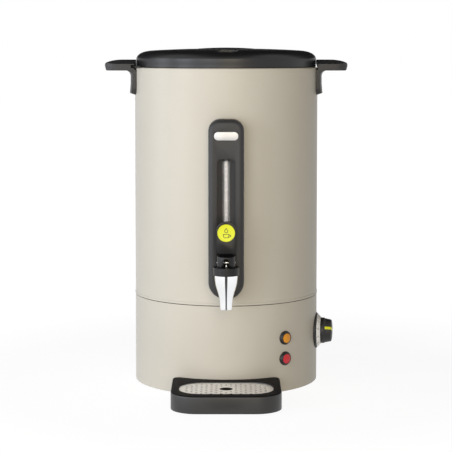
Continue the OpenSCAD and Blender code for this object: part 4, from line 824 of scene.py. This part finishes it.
@dataclass
class Lid:
    """The twist-lock lid with its scooped grip and its steam vent."""

    radius: float = 130.0
    low: float = 457.9
    height: float = 27.0
    wall: float = 2.6
    skirt: float = 6.0  # height of the upright skirt
    skirt_edge: float = 0.5
    bulge: float = 1.0  # how far the rim bulges past the skirt
    bulge_up: float = 11.5  # height of the bulge's widest line
    shoulder_in: Point = (0.8, 6.6)  # control point: inwards and up from that line
    crown_in: Point = (7.0, 4.2)  # control point: inwards and down from the crown
    crown_join: Point = (22.0, 3.1)  # where the shoulder meets the crown
    crown_fall: float = 4.3  # fall of the crown, carried on to the full radius
    crown_rings: tuple[float, ...] = (0.74, 0.66, 0.58, 0.5, 0.42)
    scoop: float = 80.0
    scoop_depth: float = 13.0
    scoop_lip: tuple[Point, ...] = ((43.5, 0.55), (41.5, 0.9), (39.6, 1.7))  # radius and fall
    scoop_edge: float = 37.8
    under_lip: Point = (46.0, 0.7)  # the lip's radius and fall on the inside
    under_edge: float = 40.0
    scoop_rings: int = 14
    bar: tuple[float, float, float] = (84.0, 24.0, 16.0)
    bar_crown: float = 560.0  # radius that the bar's top is crowned to
    bar_proud: float = 1.2
    bar_round: float = 2.2
    bar_cuts: int = 13
    vent: Point = (37.0, 24.0)
    vent_y: float = -106.0
    vent_depth: float = 9.0
    vent_cut: float = 12.0  # how far the vent's cutter reaches up and down
    vent_ease: float = 0.01  # bevel of the cutter's ends
    cup_top: float = 5.0
    cup_wall: float = 2.0
    cup_floor: float = 2.4
    tab_start: float = 15.72  # where a tab starts, in degrees from the x axis
    tab_angle: float = 8.0
    tab_reach: float = 9.0
    tab_root: float = 0.5  # how far a tab is sunk into the skirt
    tab_thick: float = 2.2
    tab_round: float = 0.5
    tab_steps: int = 10
    liner: Span = (462.8, 463.8)
    liner_gap: float = 0.5
    liner_edge: float = 0.3
    seal: tuple[Corner, ...] = ((120, 458.7, 0.5), (125.7, 458.7, 0.5), (125.7, 462.6, 0.6),
                                (121.4, 462.6, 0.5), (119, 461.0, 0.6))

    @property
    def crown(self) -> float:
        """Height of the crown's middle."""
        return self.low + self.height

    def outline(self, inset: float) -> list[Point]:
        """Gives the lid's upper outline from the bulge to the scoop.

        Args:
            inset: How far the outline lies inside the outer face.

        Returns:
            The points.
        """
        edge, widest = self.radius + self.bulge - inset, self.low + self.bulge_up
        (back, up), (inwards, down), (join, fall) = self.shoulder_in, self.crown_in, self.crown_join
        points = curve((edge, widest), (edge - back, widest + up - inset / 2),
                       (self.radius - inwards - inset, self.crown - down - inset),
                       (self.radius - join - inset, self.crown - fall - inset), steps=16)
        return points + [(self.radius * q, self.crown - self.crown_fall * q * q - inset)
                         for q in self.crown_rings]

    def dish(self, grow: float, upto: float) -> list[Point]:
        """Gives the scoop's outline, from its edge to the axis.

        Args:
            grow: How much larger the ball that shapes it is.
            upto: Radius of the scoop's edge.

        Returns:
            The points.
        """
        ball = ((self.scoop / 2) ** 2 + self.scoop_depth ** 2) / (2 * self.scoop_depth)
        middle = self.crown - self.scoop_depth + ball
        radii = [upto * k / self.scoop_rings for k in range(self.scoop_rings, -1, -1)]
        return [(r, middle - math.sqrt((ball + grow) ** 2 - r ** 2)) for r in radii]

    def cover(self) -> None:
        """Builds the cover with its vent's recess, the bar and the locking tabs."""
        inner, straight = self.radius - self.wall, self.low + self.skirt
        outside = [(inner, self.low), (self.radius - self.skirt_edge, self.low),
                   (self.radius, self.low + self.skirt_edge), (self.radius, straight)]
        outside += self.outline(0) + [(r, self.crown - fall) for r, fall in self.scoop_lip]
        outside += self.dish(0, self.scoop_edge)
        lip, fall = self.under_lip
        inside = [(inner, straight)] + self.outline(self.wall)
        inside += [(lip, self.crown - self.wall - fall)] + self.dish(self.wall, self.under_edge)
        shell = revolve(outside + inside[::-1], closed=False, steps=FINE_STEPS)
        vent = prism(stadium(*self.vent), (-self.vent_cut, self.vent_cut))
        vent = moved(soften(vent, self.vent_ease, segments=1), shift(0, self.vent_y, self.crown))
        shell = cut(shell, vent)
        piece("lid_moulding", [shell, self.cup(), self.grip_bar(), self.tab(0), self.tab(180)],
              LID_BLACK, "lid", ["lid_cover"])

    def cup(self) -> BMesh:
        """Builds the cup that holds the vent under the crown.

        Returns:
            A closed mesh.
        """
        width, height = (size + 2 * self.cup_wall for size in self.vent)
        top, floor = self.crown - self.cup_top, self.crown - self.vent_depth
        bm = prism(stadium(width, height), (floor - self.cup_floor, top))
        face = max(bm.faces, key=lambda f: f.calc_center_median().z + f.calc_area())
        bmesh.ops.inset_region(bm, faces=[face], thickness=self.cup_wall * MM,
                               use_even_offset=True)
        bmesh.ops.translate(bm, verts=face.verts, vec=(0, 0, (floor - top) * MM))
        return moved(bm, shift(0, self.vent_y))

    def grip_bar(self) -> BMesh:
        """Builds the bar across the scoop, whose top follows the crown.

        Returns:
            A closed mesh.
        """
        bm = bmesh.new()
        bmesh.ops.create_cube(bm, size=1.0)
        bmesh.ops.scale(bm, vec=Vector(self.bar) * MM, verts=bm.verts)
        along = [e for e in bm.edges if abs((e.verts[0].co - e.verts[1].co).x) > WELD]
        bmesh.ops.subdivide_edges(bm, edges=along, cuts=self.bar_cuts, use_grid_fill=True)
        top = [e for e in bm.edges if min(v.co.z for v in e.verts) > 0 and sharp(e, CORNER_ANGLE)]
        bevel(bm, top, self.bar_round, segments=4)
        for v in bm.verts:
            if v.co.z > 0:
                v.co.z -= (v.co.x ** 2 + v.co.y ** 2) / (2 * self.bar_crown * MM)
        return moved(bm, shift(0, 0, self.crown + self.bar_proud - self.bar[2] / 2))

    def tab(self, side: float) -> BMesh:
        """Builds one locking tab.

        Args:
            side: How far the tab is turned on round the lid, in degrees.

        Returns:
            A closed mesh.
        """
        inner, outer = self.radius - self.wall + self.tab_root, self.radius + self.tab_reach
        high = self.low + self.tab_thick
        section = [(inner, self.low), (outer, self.low), (outer, high), (inner, high)]
        bm = revolve(section, steps=self.tab_steps, sweep=self.tab_angle)
        turn = Matrix.Rotation(math.radians(self.tab_start + side), 4, "Z")
        return moved(soften(bm, self.tab_round, segments=2), turn)

    def build(self) -> None:
        """Builds the lid's pieces."""
        self.cover()
        copy_piece("steam_vent_insert", "steam_vent", LID_BLACK, "lid", Edge.THIN)
        edge, (low, high) = self.radius - self.wall - self.liner_gap, self.liner
        plate = rounded([(0, low, 0), (edge, low, self.liner_edge), (edge, high, self.liner_edge),
                         (0, high, 0)], closed=False, steps=3)
        piece("lid_liner_plate", [revolve(plate, closed=False)], TANK_STEEL, "lid",
              ["lid_liner"])
        piece("lid_seal_ring", [revolve(rounded(self.seal))], SILICONE, "lid_carrier",
              ["lid_seal"])
        dress("lid_screws", TURNED_STEEL)


# ---- handles and tower

@dataclass
class Handles:
    """The two side handles."""

    edge: Edge = Edge.GRIP

    def build(self) -> None:
        """Builds both handles."""
        for side in ("left", "right"):
            copy_piece(f"{side}_grip", f"handle_{side}", MOULDED_CHARCOAL, "urn",
                       self.edge)


@dataclass
class Tower:
    """The tower on the front, with its sight gauge and its bare plate."""

    plate: Point = (33.4, 11.6)
    plate_z: float = 365.4
    plate_span: Span = (156.0, 157.4)  # distances from the axis of its back and its face
    plate_round: float = 0.35
    strip: float = 6.0
    strip_z: Span = (204.2, 330.0)
    strip_span: Span = (142.0, 142.8)
    strip_round: float = 0.2
    mark: Point = (4.2, 0.9)
    mark_span: Span = (142.75, 142.9)
    marks: tuple[float, ...] = (320.0, 305.5, 291.0, 276.5, 262.0, 247.5, 233.0, 218.5)
    tube: Point = (10.0, 7.0)  # outer and inner diameter
    tube_out: float = 149.4
    tube_z: Span = (197.2, 342.0)
    tube_edges: Point = (0.5, 0.4)  # rounding of the ends, outside and inside

    def build(self) -> None:
        """Builds the tower's pieces."""
        copy_piece("gauge_tower", "tower_housing", MOULDED_CHARCOAL, "urn",
                   Edge.ROUND)
        plate = soften(prism(stadium(*self.plate, steps=10), self.plate_span), self.plate_round)
        piece("bare_plate", [moved(plate, facing(0, self.plate_z))], NAME_PLATE, "urn",
              ["name_plate"])
        self.gauge()

    def gauge(self) -> None:
        """Builds the level strip, its marks and the glass tube."""
        strip = soften(block(self.strip, self.strip_z, self.strip_span), self.strip_round,
                       segments=2)
        piece("level_strip", [moved(strip, facing(0, 0))], STRIP_SILVER, "urn",
              ["gauge_strip"])
        width, half = self.mark[0], self.mark[1] / 2
        marks = [block(width, (z - half, z + half), self.mark_span) for z in self.marks]
        piece("level_marks", [moved(m, facing(0, 0)) for m in marks], DIAL_WHITE, "urn")
        outer, bore = (d / 2 for d in self.tube)
        (low, high), (edge, brim) = self.tube_z, self.tube_edges
        ring = rounded([(bore, low, brim), (outer, low, edge), (outer, high, edge),
                        (bore, high, brim)])
        tube = moved(revolve(ring, steps=SMALL_STEPS), shift(0, -self.tube_out))
        piece("sight_tube", [tube], GLASS, "urn", ["gauge_tube"])


# ---- tap

@dataclass
class Tap:
    """The lever tap with its chromed spout."""

    reach: float = 188.0
    spout_top: Point = (15.9, 179.2)  # radius and height of the spout's upper end
    spout_tip: Point = (8.2, 132.2)
    spout_pull: Point = (0.9, 0.2)  # control points: inwards at the top, out at the tip
    spout_bend: Point = (0.5, 0.44)  # how far down they lie, as shares of the length
    spout_rim: tuple[Point, ...] = ((0.5, 0.0), (0.1, 0.3))  # inwards and down
    spout_lip: tuple[Point, ...] = ((0.0, 0.6), (0.3, 0.1), (0.9, 0.0))  # inwards and up
    spout_brim: float = 0.5  # height of the bore's edge over the tip
    spout_wall: float = 1.8
    bore_margin: float = 1.0  # height at each end that the bore's curve leaves out
    neck: float = 167.5  # height where the bore opens to the spigot
    spigot: float = 12.05
    badge_z: float = 238.2
    badge_front: float = 16.0
    badge_radius: float = 11.9
    badge_lip: tuple[Corner, ...] = ((0.2, 1.4, 0.3), (0.9, 1.4, 0.2), (1.2, 1.1, 0.1))
    badge_steps: int = 96
    sign_span: Span = (1.05, 1.2)  # heights of the pictogram over the badge's back
    line: float = 0.75  # width of the pictogram's lines
    cup: tuple[Corner, ...] = ((-4.2, -1.2, 0.3), (-3.4, -6.6, 1.4), (3.4, -6.6, 1.4),
                               (4.2, -1.2, 0.3))
    ear: tuple[Corner, ...] = ((3.2, -2.2, 0.4), (6.6, -2.2, 1.8), (6.0, -5.6, 1.6),
                               (3.2, -5.6, 0.4))
    drop: tuple[Point, ...] = ((0, 7.2), (1.2, 4.6), (3.0, 3.4), (2.4, 1.6), (1.6, -0.2),
                               (-1.6, -0.2), (-2.4, 1.6), (-3.0, 3.4), (-1.2, 4.6), (0, 7.2))
    spring: Span = (177.5, 186.2)  # ends of the valve's spring
    lift: float = 3.45  # how far the stem rises

    def outer_curve(self, inset: float) -> list[Point]:
        """Gives the spout's side, from its top to its tip.

        Args:
            inset: How far the curve lies inside the outer face.

        Returns:
            The points.
        """
        (rt, zt), (rb, zb) = self.spout_top, self.spout_tip
        (pull, flare), (first, second) = self.spout_pull, self.spout_bend
        return curve((rt - inset, zt), (rt - pull - inset, zt - first * (zt - zb)),
                     (rb + flare - inset, zt - second * (zt - zb)), (rb - inset, zb), steps=24)

    def spout(self) -> None:
        """Builds the chromed spout."""
        (rt, zt), (rb, zb) = self.spout_top, self.spout_tip
        outside = [(rt - back, zt - down) for back, down in self.spout_rim]
        outside += self.outer_curve(0)[1:-1]
        outside += [(rb - back, zb + up) for back, up in self.spout_lip]
        low, high = zb + self.bore_margin, self.neck - self.bore_margin
        inside = [p for p in self.outer_curve(self.spout_wall) if low < p[1] < high]
        profile = outside + [(rb - self.spout_wall, zb + self.spout_brim)] + inside[::-1] + [
            (inside[0][0], self.neck), (self.spigot, self.neck), (self.spigot, zt)]
        made = moved(revolve(profile, steps=MEDIUM_STEPS), shift(0, -self.reach))
        piece("chromed_spout", [made], CHROME, "urn", ["spout"])

    def badge(self) -> None:
        """Builds the badge and the raised pictogram of a cup under a drop."""
        r, face = self.badge_radius, self.badge_lip[-1][1]
        lip = [(r - back, up, edge) for back, up, edge in self.badge_lip]
        disc = revolve(rounded([(0, 0, 0), (r, 0, 0), *lip, (0, face, 0)], closed=False, steps=3),
                       closed=False, steps=self.badge_steps)
        here = facing(0, self.badge_z, self.reach + self.badge_front)
        piece("lever_disc", [moved(disc, here)], LIME_YELLOW, "lever",
              ["lever_badge"])
        drop = [p for i in (0, 3, 6) for p in curve(*self.drop[i:i + 4], steps=8)[:-1]]
        marks = [moved(prism(shape, self.sign_span, self.line), here)
                 for shape in (rounded(self.cup), drop, rounded(self.ear))]
        piece("lever_pictogram", marks, INK, "lever")

    def build(self) -> None:
        """Builds the tap's pieces."""
        copy_piece("tap_collar", "tap_body", TAP_BLACK, "urn")
        copy_piece("tap_bonnet_cap", "tap_bonnet", TAP_BLACK, "urn", Edge.THIN)
        self.spout()
        copy_piece("tap_stem", "valve_stem", TURNED_STEEL, "tap_stem", Edge.FINE)
        coil = copy_piece("valve_spring", "stem_spring", TURNED_STEEL, "urn")
        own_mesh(coil)
        copy_piece("pull_lever", "tap_lever", TAP_BLACK, "lever", Edge.FULL)
        copy_piece("lever_axle", "lever_pin", CHROME, "lever", Edge.SLIGHT)
        self.badge()


# ---- controls

@dataclass
class Controls:
    """The thermostat's dial and knob, the lamps and the mains inlet."""

    azimuth: float = 82.5
    height: float = 73.0
    face: float = 135.0  # distance of the dial's back from the tank's axis
    dial_hub: float = 6.0
    dial_depth: float = 5.0
    dial_back: float = 24.6
    dial_front: float = 19.35
    dial_edges: Point = (0.2, 0.4)  # rounding of the cone, at its back and front
    degrees: tuple[int, ...] = (30, 40, 50, 60, 70, 80, 90, 100, 110)
    first: float = 225.0
    step: float = 30.0
    long_mark: Point = (1.5, 0.55)  # length and width
    short_mark: Point = (1.0, 0.35)
    mark_span: Span = (-0.05, 0.06)
    mark_up: float = 0.4  # distance up the cone
    number_up: float = 4.8
    number_size: float = 2.9
    number_depth: float = 0.03
    lamp_azimuth: float = 38.5
    lamp_heights: Point = (48.5, 77.8)
    lens_radius: float = 6.6
    lens_side: float = 2.0  # height of the lens's upright side
    lens_dome: float = 1.2
    lens_seat: float = 135.4
    lens_rings: int = 10

    def dial(self) -> None:
        """Builds the bezel and the dial with its marks and numbers."""
        copy_piece("dial_surround", "dial_bezel", MOULDED_BLACK, "urn", Edge.SOFT)
        hub, back, front, deep = self.dial_hub, self.dial_back, self.dial_front, self.dial_depth
        cone = rounded([(hub, 0, 0), (back, 0, self.dial_edges[0]),
                        (front, deep, self.dial_edges[1]), (hub, deep, 0)])
        here = facing(self.azimuth, self.height, self.face)
        piece("dial_cone", [moved(revolve(cone, steps=MEDIUM_STEPS), here)], DIAL_WHITE, "urn",
              ["dial_ring"])
        marks = []
        for k in range(2 * len(self.degrees) - 1):
            length, width = self.short_mark if k % 2 else self.long_mark
            bar = block(width, (0, length), self.mark_span)
            marks.append(moved(bar, here @ self.on_cone(k * self.step / 2, self.mark_up)))
        for k, value in enumerate(self.degrees):
            place = here @ self.on_cone(k * self.step, self.number_up)
            marks.append(moved(self.number(str(value)), place @ Matrix.Rotation(math.pi, 4, "Z")))
        piece("dial_marks", marks, INK, "urn")

    def on_cone(self, turn: float, up: float) -> Matrix:
        """Gives the place of a mark on the dial's cone.

        Args:
            turn: Angle from the first mark, in degrees, clockwise.
            up: Distance up the cone from its outer edge, in millimetres.

        Returns:
            A matrix whose x runs round the dial and whose y runs up the cone.
        """
        slope = math.atan2(self.dial_depth, self.dial_back - self.dial_front)
        around = Matrix.Rotation(math.radians(self.first - turn - 90), 4, "Z")
        return (around @ shift(0, self.dial_back) @ Matrix.Rotation(math.pi, 4, "Z")
                @ Matrix.Rotation(slope, 4, "X") @ shift(0, up))

    def number(self, text: str) -> BMesh:
        """Makes a thin raised number.

        Args:
            text: The number.

        Returns:
            Its letters, centred over the origin.
        """
        letters = bpy.data.curves.new("number", "FONT")
        letters.body, letters.align_x, letters.resolution_u = text, "CENTER", 3
        letters.size, letters.extrude = self.number_size * MM, self.number_depth * MM
        return tidy(collected(linked("number", letters)))

    def knob(self) -> None:
        """Builds the knob and its pointer."""
        copy_piece("thermostat_knob", "control_knob", MOULDED_BLACK, "knob",
                   Edge.THIN)
        copy_piece("knob_index", "knob_pointer", LIME_YELLOW, "knob", Edge.SLIGHT)

    def lamps(self) -> None:
        """Builds the lamp bezels and the domed lenses."""
        copy_piece("lamp_surrounds", "lamp_bezels", MOULDED_BLACK, "urn",
                   Edge.SOFT)
        r, dome, side = self.lens_radius, self.lens_dome, self.lens_side
        ball = (r * r + dome * dome) / (2 * dome)
        turns = [math.asin(r / ball) * k / self.lens_rings for k in range(self.lens_rings, -1, -1)]
        arc = [(ball * math.sin(t), side + dome - ball + ball * math.cos(t)) for t in turns]
        for colour, finish, height in zip(("red", "amber"), (RED_LENS, AMBER_LENS),
                                          self.lamp_heights):
            lens = revolve([(0, 0), (r, 0)] + arc, closed=False, steps=SMALL_STEPS)
            place = facing(self.lamp_azimuth, height, self.lens_seat)
            piece(f"{colour}_lens_dome", [moved(lens, place)], finish, "urn",
                  [f"{colour}_lens"])

    def build(self) -> None:
        """Builds the controls."""
        self.dial()
        self.knob()
        self.lamps()
        copy_piece("inlet_moulding", "power_inlet", MOULDED_BLACK, "urn",
                   Edge.SOFT)
        copy_piece("inlet_screw_heads", "inlet_screws", TURNED_STEEL, "urn",
                   Edge.HAIR)


# ---- tray and feet

@dataclass
class DripTray:
    """The drip tray with its perforated grid, and the rubber feet."""

    top_round: float = 2.4  # rounding of the outer top edge
    top_segments: int = 5
    top_depth: float = 0.2  # how far under the top an edge still counts as top

    def outer_rim(self, bm: BMesh) -> list[bmesh.types.BMEdge]:
        """Finds the edges between the tray's top and its outer walls.

        Args:
            bm: The tray.

        Returns:
            The edges.
        """
        top = max(v.co.z for v in bm.verts) - self.top_depth * MM
        middle = sum((v.co for v in bm.verts), Vector()) / len(bm.verts)
        rim = []
        for edge in bm.edges:
            out = (edge.verts[0].co + edge.verts[1].co) / 2 - middle
            outward = any(SIDEWAYS[0] < f.normal.z < SIDEWAYS[1] and f.normal.dot(out) > 0
                          for f in edge.link_faces)
            if min(v.co.z for v in edge.verts) > top and outward and sharp(edge, CORNER_ANGLE):
                rim.append(edge)
        return rim

    def build(self) -> None:
        """Builds the tray, the grid and the feet."""
        tray = copied("drip_tray")
        bevel(tray, self.outer_rim(tray), self.top_round, self.top_segments)
        made = piece("tray_moulding", [soften(tray, *Edge.FULL.value)], TRAY_CHARCOAL, "tray",
                     ["drip_tray"])
        # The faces that look up take a darker, duller copy of the tray's finish: painted shade
        two_faced(made, TRAY_TOP_SHADE, UPWARD)
        made = copy_piece("tray_grid", "drip_grid", GRID_STEEL, "grid", Edge.HAIR)
        # The walls of the grid's holes are painted dark: painted shade inside the holes
        two_faced(made, PUNCHED_WALL_SHADE, SIDEWAYS)
        copy_piece("tray_pads", "tray_feet", RUBBER, "tray", Edge.FINE)
        copy_piece("rubber_feet", "feet", RUBBER, "urn", Edge.SOFT)


# ---- studio

@dataclass(frozen=True)
class Card:
    """A grey card that only mirrored rays meet, in metres."""

    name: str
    size: Point
    middle: Corner
    colour: str
    upright: bool = True
    taper: float = 1.0  # width of the card's +y end, as a share of the other

    def build(self) -> None:
        """Puts up the card."""
        bm = bmesh.new()
        bmesh.ops.create_grid(bm, x_segments=1, y_segments=1, size=0.5)
        far = [v for v in bm.verts if v.co.y > 0]
        bmesh.ops.scale(bm, vec=(self.taper, 1, 1), verts=far)
        bmesh.ops.scale(bm, vec=(*self.size, 1), verts=bm.verts)
        turn = Matrix.Rotation(math.radians(90), 4, "X") if self.upright else Matrix()
        mesh = written(moved(bm, Matrix.Translation(self.middle) @ turn), self.name)
        made = bpy.data.materials.new(f"studio_{self.name}")
        tree = cleared(made)
        path = add_node(tree, "ShaderNodeLightPath")
        clear = add_node(tree, "ShaderNodeBsdfTransparent")
        cloth = add_node(tree, "ShaderNodeEmission", {"Color": linear(self.colour)})
        mix = add_node(tree, "ShaderNodeMixShader", {
            0: path.outputs["Is Glossy Ray"], 1: clear.outputs[0], 2: cloth.outputs[0]})
        add_node(tree, "ShaderNodeOutputMaterial", {"Surface": mix.outputs[0]})
        mesh.materials.append(made)
        card = linked(self.name, mesh)


@dataclass(frozen=True)
class Lamp:
    """A soft rectangular light that looks at the urn, in metres and watts."""

    name: str
    azimuth: float  # in degrees, from the front towards the knob's side
    height: float
    width: float
    watts: float
    tint: str
    length: float = 1.8
    away: float = 2.8  # distance from the urn's axis
    aim: float = 0.25  # height on the axis that it looks at

    def build(self) -> None:
        """Hangs the light."""
        data = bpy.data.lights.new(self.name, "AREA")
        data.shape, data.size, data.size_y = "RECTANGLE", self.width, self.length
        data.energy, data.color = self.watts, linear(self.tint)[:3]
        turn = math.radians(self.azimuth)
        place = Vector((self.away * math.sin(turn), -self.away * math.cos(turn), self.height))
        made = linked(self.name, data)
        made.location = place
        made.rotation_euler = (Vector((0, 0, self.aim)) - place).to_track_quat("-Z", "Y").to_euler()


@dataclass
class Studio:
    """The camera, the pale floor and the soft lights, in metres."""

    lens: float = 124.41
    sensor: float = 36.0
    clip: Span = (0.05, 60.0)
    pitch: float = 4.046
    eye: Corner = (0.0, -2.2835, 0.4863)
    lens_shift: Point = (-0.0004, -0.1508)
    floor_size: float = 12.0
    floor_paper: str = "#f4f4f4"
    floor_glow: Span = (0.3, 0.82)  # glowing share of the floor: to light, to the eye
    floor_white: Span = (1.12, 1.25)  # strength of that glow near the urn, and far off
    floor_near: Span = (0.35, 0.9)  # where it starts and ends to change
    world_light: Span = (0.05, 1.0)  # strength as a light, and where it shows
    cards: tuple[Card, ...] = (
        Card("flag", (1.5, 3.0), (0, -2.8835, 1.5), "#808080"),
        Card("floor_cloth", (0.92, 1.9), (0, -1.21, 0.002), "#4c4c4c", False, 0.04),
        Card("back_cloth", (7.0, 2.58), (0, 1.4, 1.91), "#242424"),
        Card("roof_cloth", (1.6, 3.4), (0, 0, 2.4), "#1c1c1c", False))
    lamps: tuple[Lamp, ...] = (
        Lamp("side_card", -85, 0.55, 0.9, 24, "#f1f6ff"),
        Lamp("key", -52, 0.5, 0.8, 33.5, "#f1f6ff"),
        Lamp("front", -20, 0.5, 1.2, 27, "#f9fbff"),
        Lamp("fill", 6, 0.55, 1.0, 32, "#fff0d6"))

    def camera(self) -> None:
        """Places the camera."""
        data = bpy.data.cameras.new("camera")
        data.lens, data.sensor_width, data.sensor_fit = self.lens, self.sensor, "HORIZONTAL"
        data.shift_x, data.shift_y = self.lens_shift
        data.clip_start, data.clip_end = self.clip
        made = linked("camera", data)
        made.location = self.eye
        made.rotation_euler = (math.radians(90 - self.pitch), 0, 0)
        bpy.context.scene.camera = made

    def for_eye(self, tree: Tree, levels: Span) -> Socket:
        """Gives one number to light and another to rays that the eye follows.

        Args:
            tree: The node tree.
            levels: The number for light, and for rays seen straight, through glass or off metal.

        Returns:
            The number's output.
        """
        path = add_node(tree, "ShaderNodeLightPath").outputs
        plain = add_node(tree, "ShaderNodeMath", {
            0: path["Is Camera Ray"], 1: path["Is Transmission Ray"]}, operation="MAXIMUM")
        seen = add_node(tree, "ShaderNodeMath", {
            0: plain.outputs[0], 1: path["Is Glossy Ray"]}, operation="MAXIMUM")
        return add_node(tree, "ShaderNodeMapRange", {
            "Value": seen.outputs[0], "To Min": levels[0],
            "To Max": levels[1]}).outputs["Result"]

    def floor(self) -> None:
        """Lays the floor, which is white to the camera but still takes the shadow."""
        bm = bmesh.new()
        bmesh.ops.create_grid(bm, x_segments=1, y_segments=1, size=self.floor_size)
        mesh = written(bm, "floor")
        made = bpy.data.materials.new("studio_floor")
        tree = cleared(made)
        paper = add_node(tree, "ShaderNodeBsdfDiffuse", {"Color": linear(self.floor_paper)})
        place = add_node(tree, "ShaderNodeTexCoord").outputs["Object"]
        away = add_node(tree, "ShaderNodeVectorMath", {0: place}, operation="LENGTH")
        white = add_node(tree, "ShaderNodeMapRange", {
            "Value": away.outputs["Value"], "From Min": self.floor_near[0],
            "From Max": self.floor_near[1], "To Min": self.floor_white[0],
            "To Max": self.floor_white[1]})
        glow = add_node(tree, "ShaderNodeEmission", {
            "Color": (1, 1, 1, 1), "Strength": white.outputs["Result"]})
        mix = add_node(tree, "ShaderNodeMixShader", {
            0: self.for_eye(tree, self.floor_glow), 1: paper.outputs[0], 2: glow.outputs[0]})
        add_node(tree, "ShaderNodeOutputMaterial", {"Surface": mix.outputs[0]})
        mesh.materials.append(made)
        floor = linked("floor", mesh)

    def sky(self) -> None:
        """Sets the world: white where it is seen or mirrored, and dim as a light."""
        world = bpy.data.worlds.new("studio")
        tree = cleared(world)
        plain = add_node(tree, "ShaderNodeBackground", {
            "Color": (1, 1, 1, 1), "Strength": self.for_eye(tree, self.world_light)})
        add_node(tree, "ShaderNodeOutputWorld", {"Surface": plain.outputs[0]})
        bpy.context.scene.world = world

    def build(self) -> None:
        """Sets up the studio."""
        self.camera()
        self.floor()
        for card in self.cards:
            card.build()
        self.sky()
        for lamp in self.lamps:
            lamp.build()
        bpy.context.scene.view_settings.view_transform = "Standard"


def corners(box: tuple[Vector, Vector]) -> list[list[float]]:
    """Turns a box into plain lists of numbers."""
    return [[round(value, 6) for value in corner] for corner in box]


def main() -> None:
    """Builds the studio and every sub-assembly."""
    logging.basicConfig(level=logging.INFO, format="%(name)s: %(message)s")
    for assembly in (Studio(), Shell(), Tank(), Lid(), Handles(), Tower(), Tap(), Controls(),
                     DripTray()):
        LOG.info("%s", type(assembly).__name__)
        assembly.build()


if __name__ == "__main__":
    main()
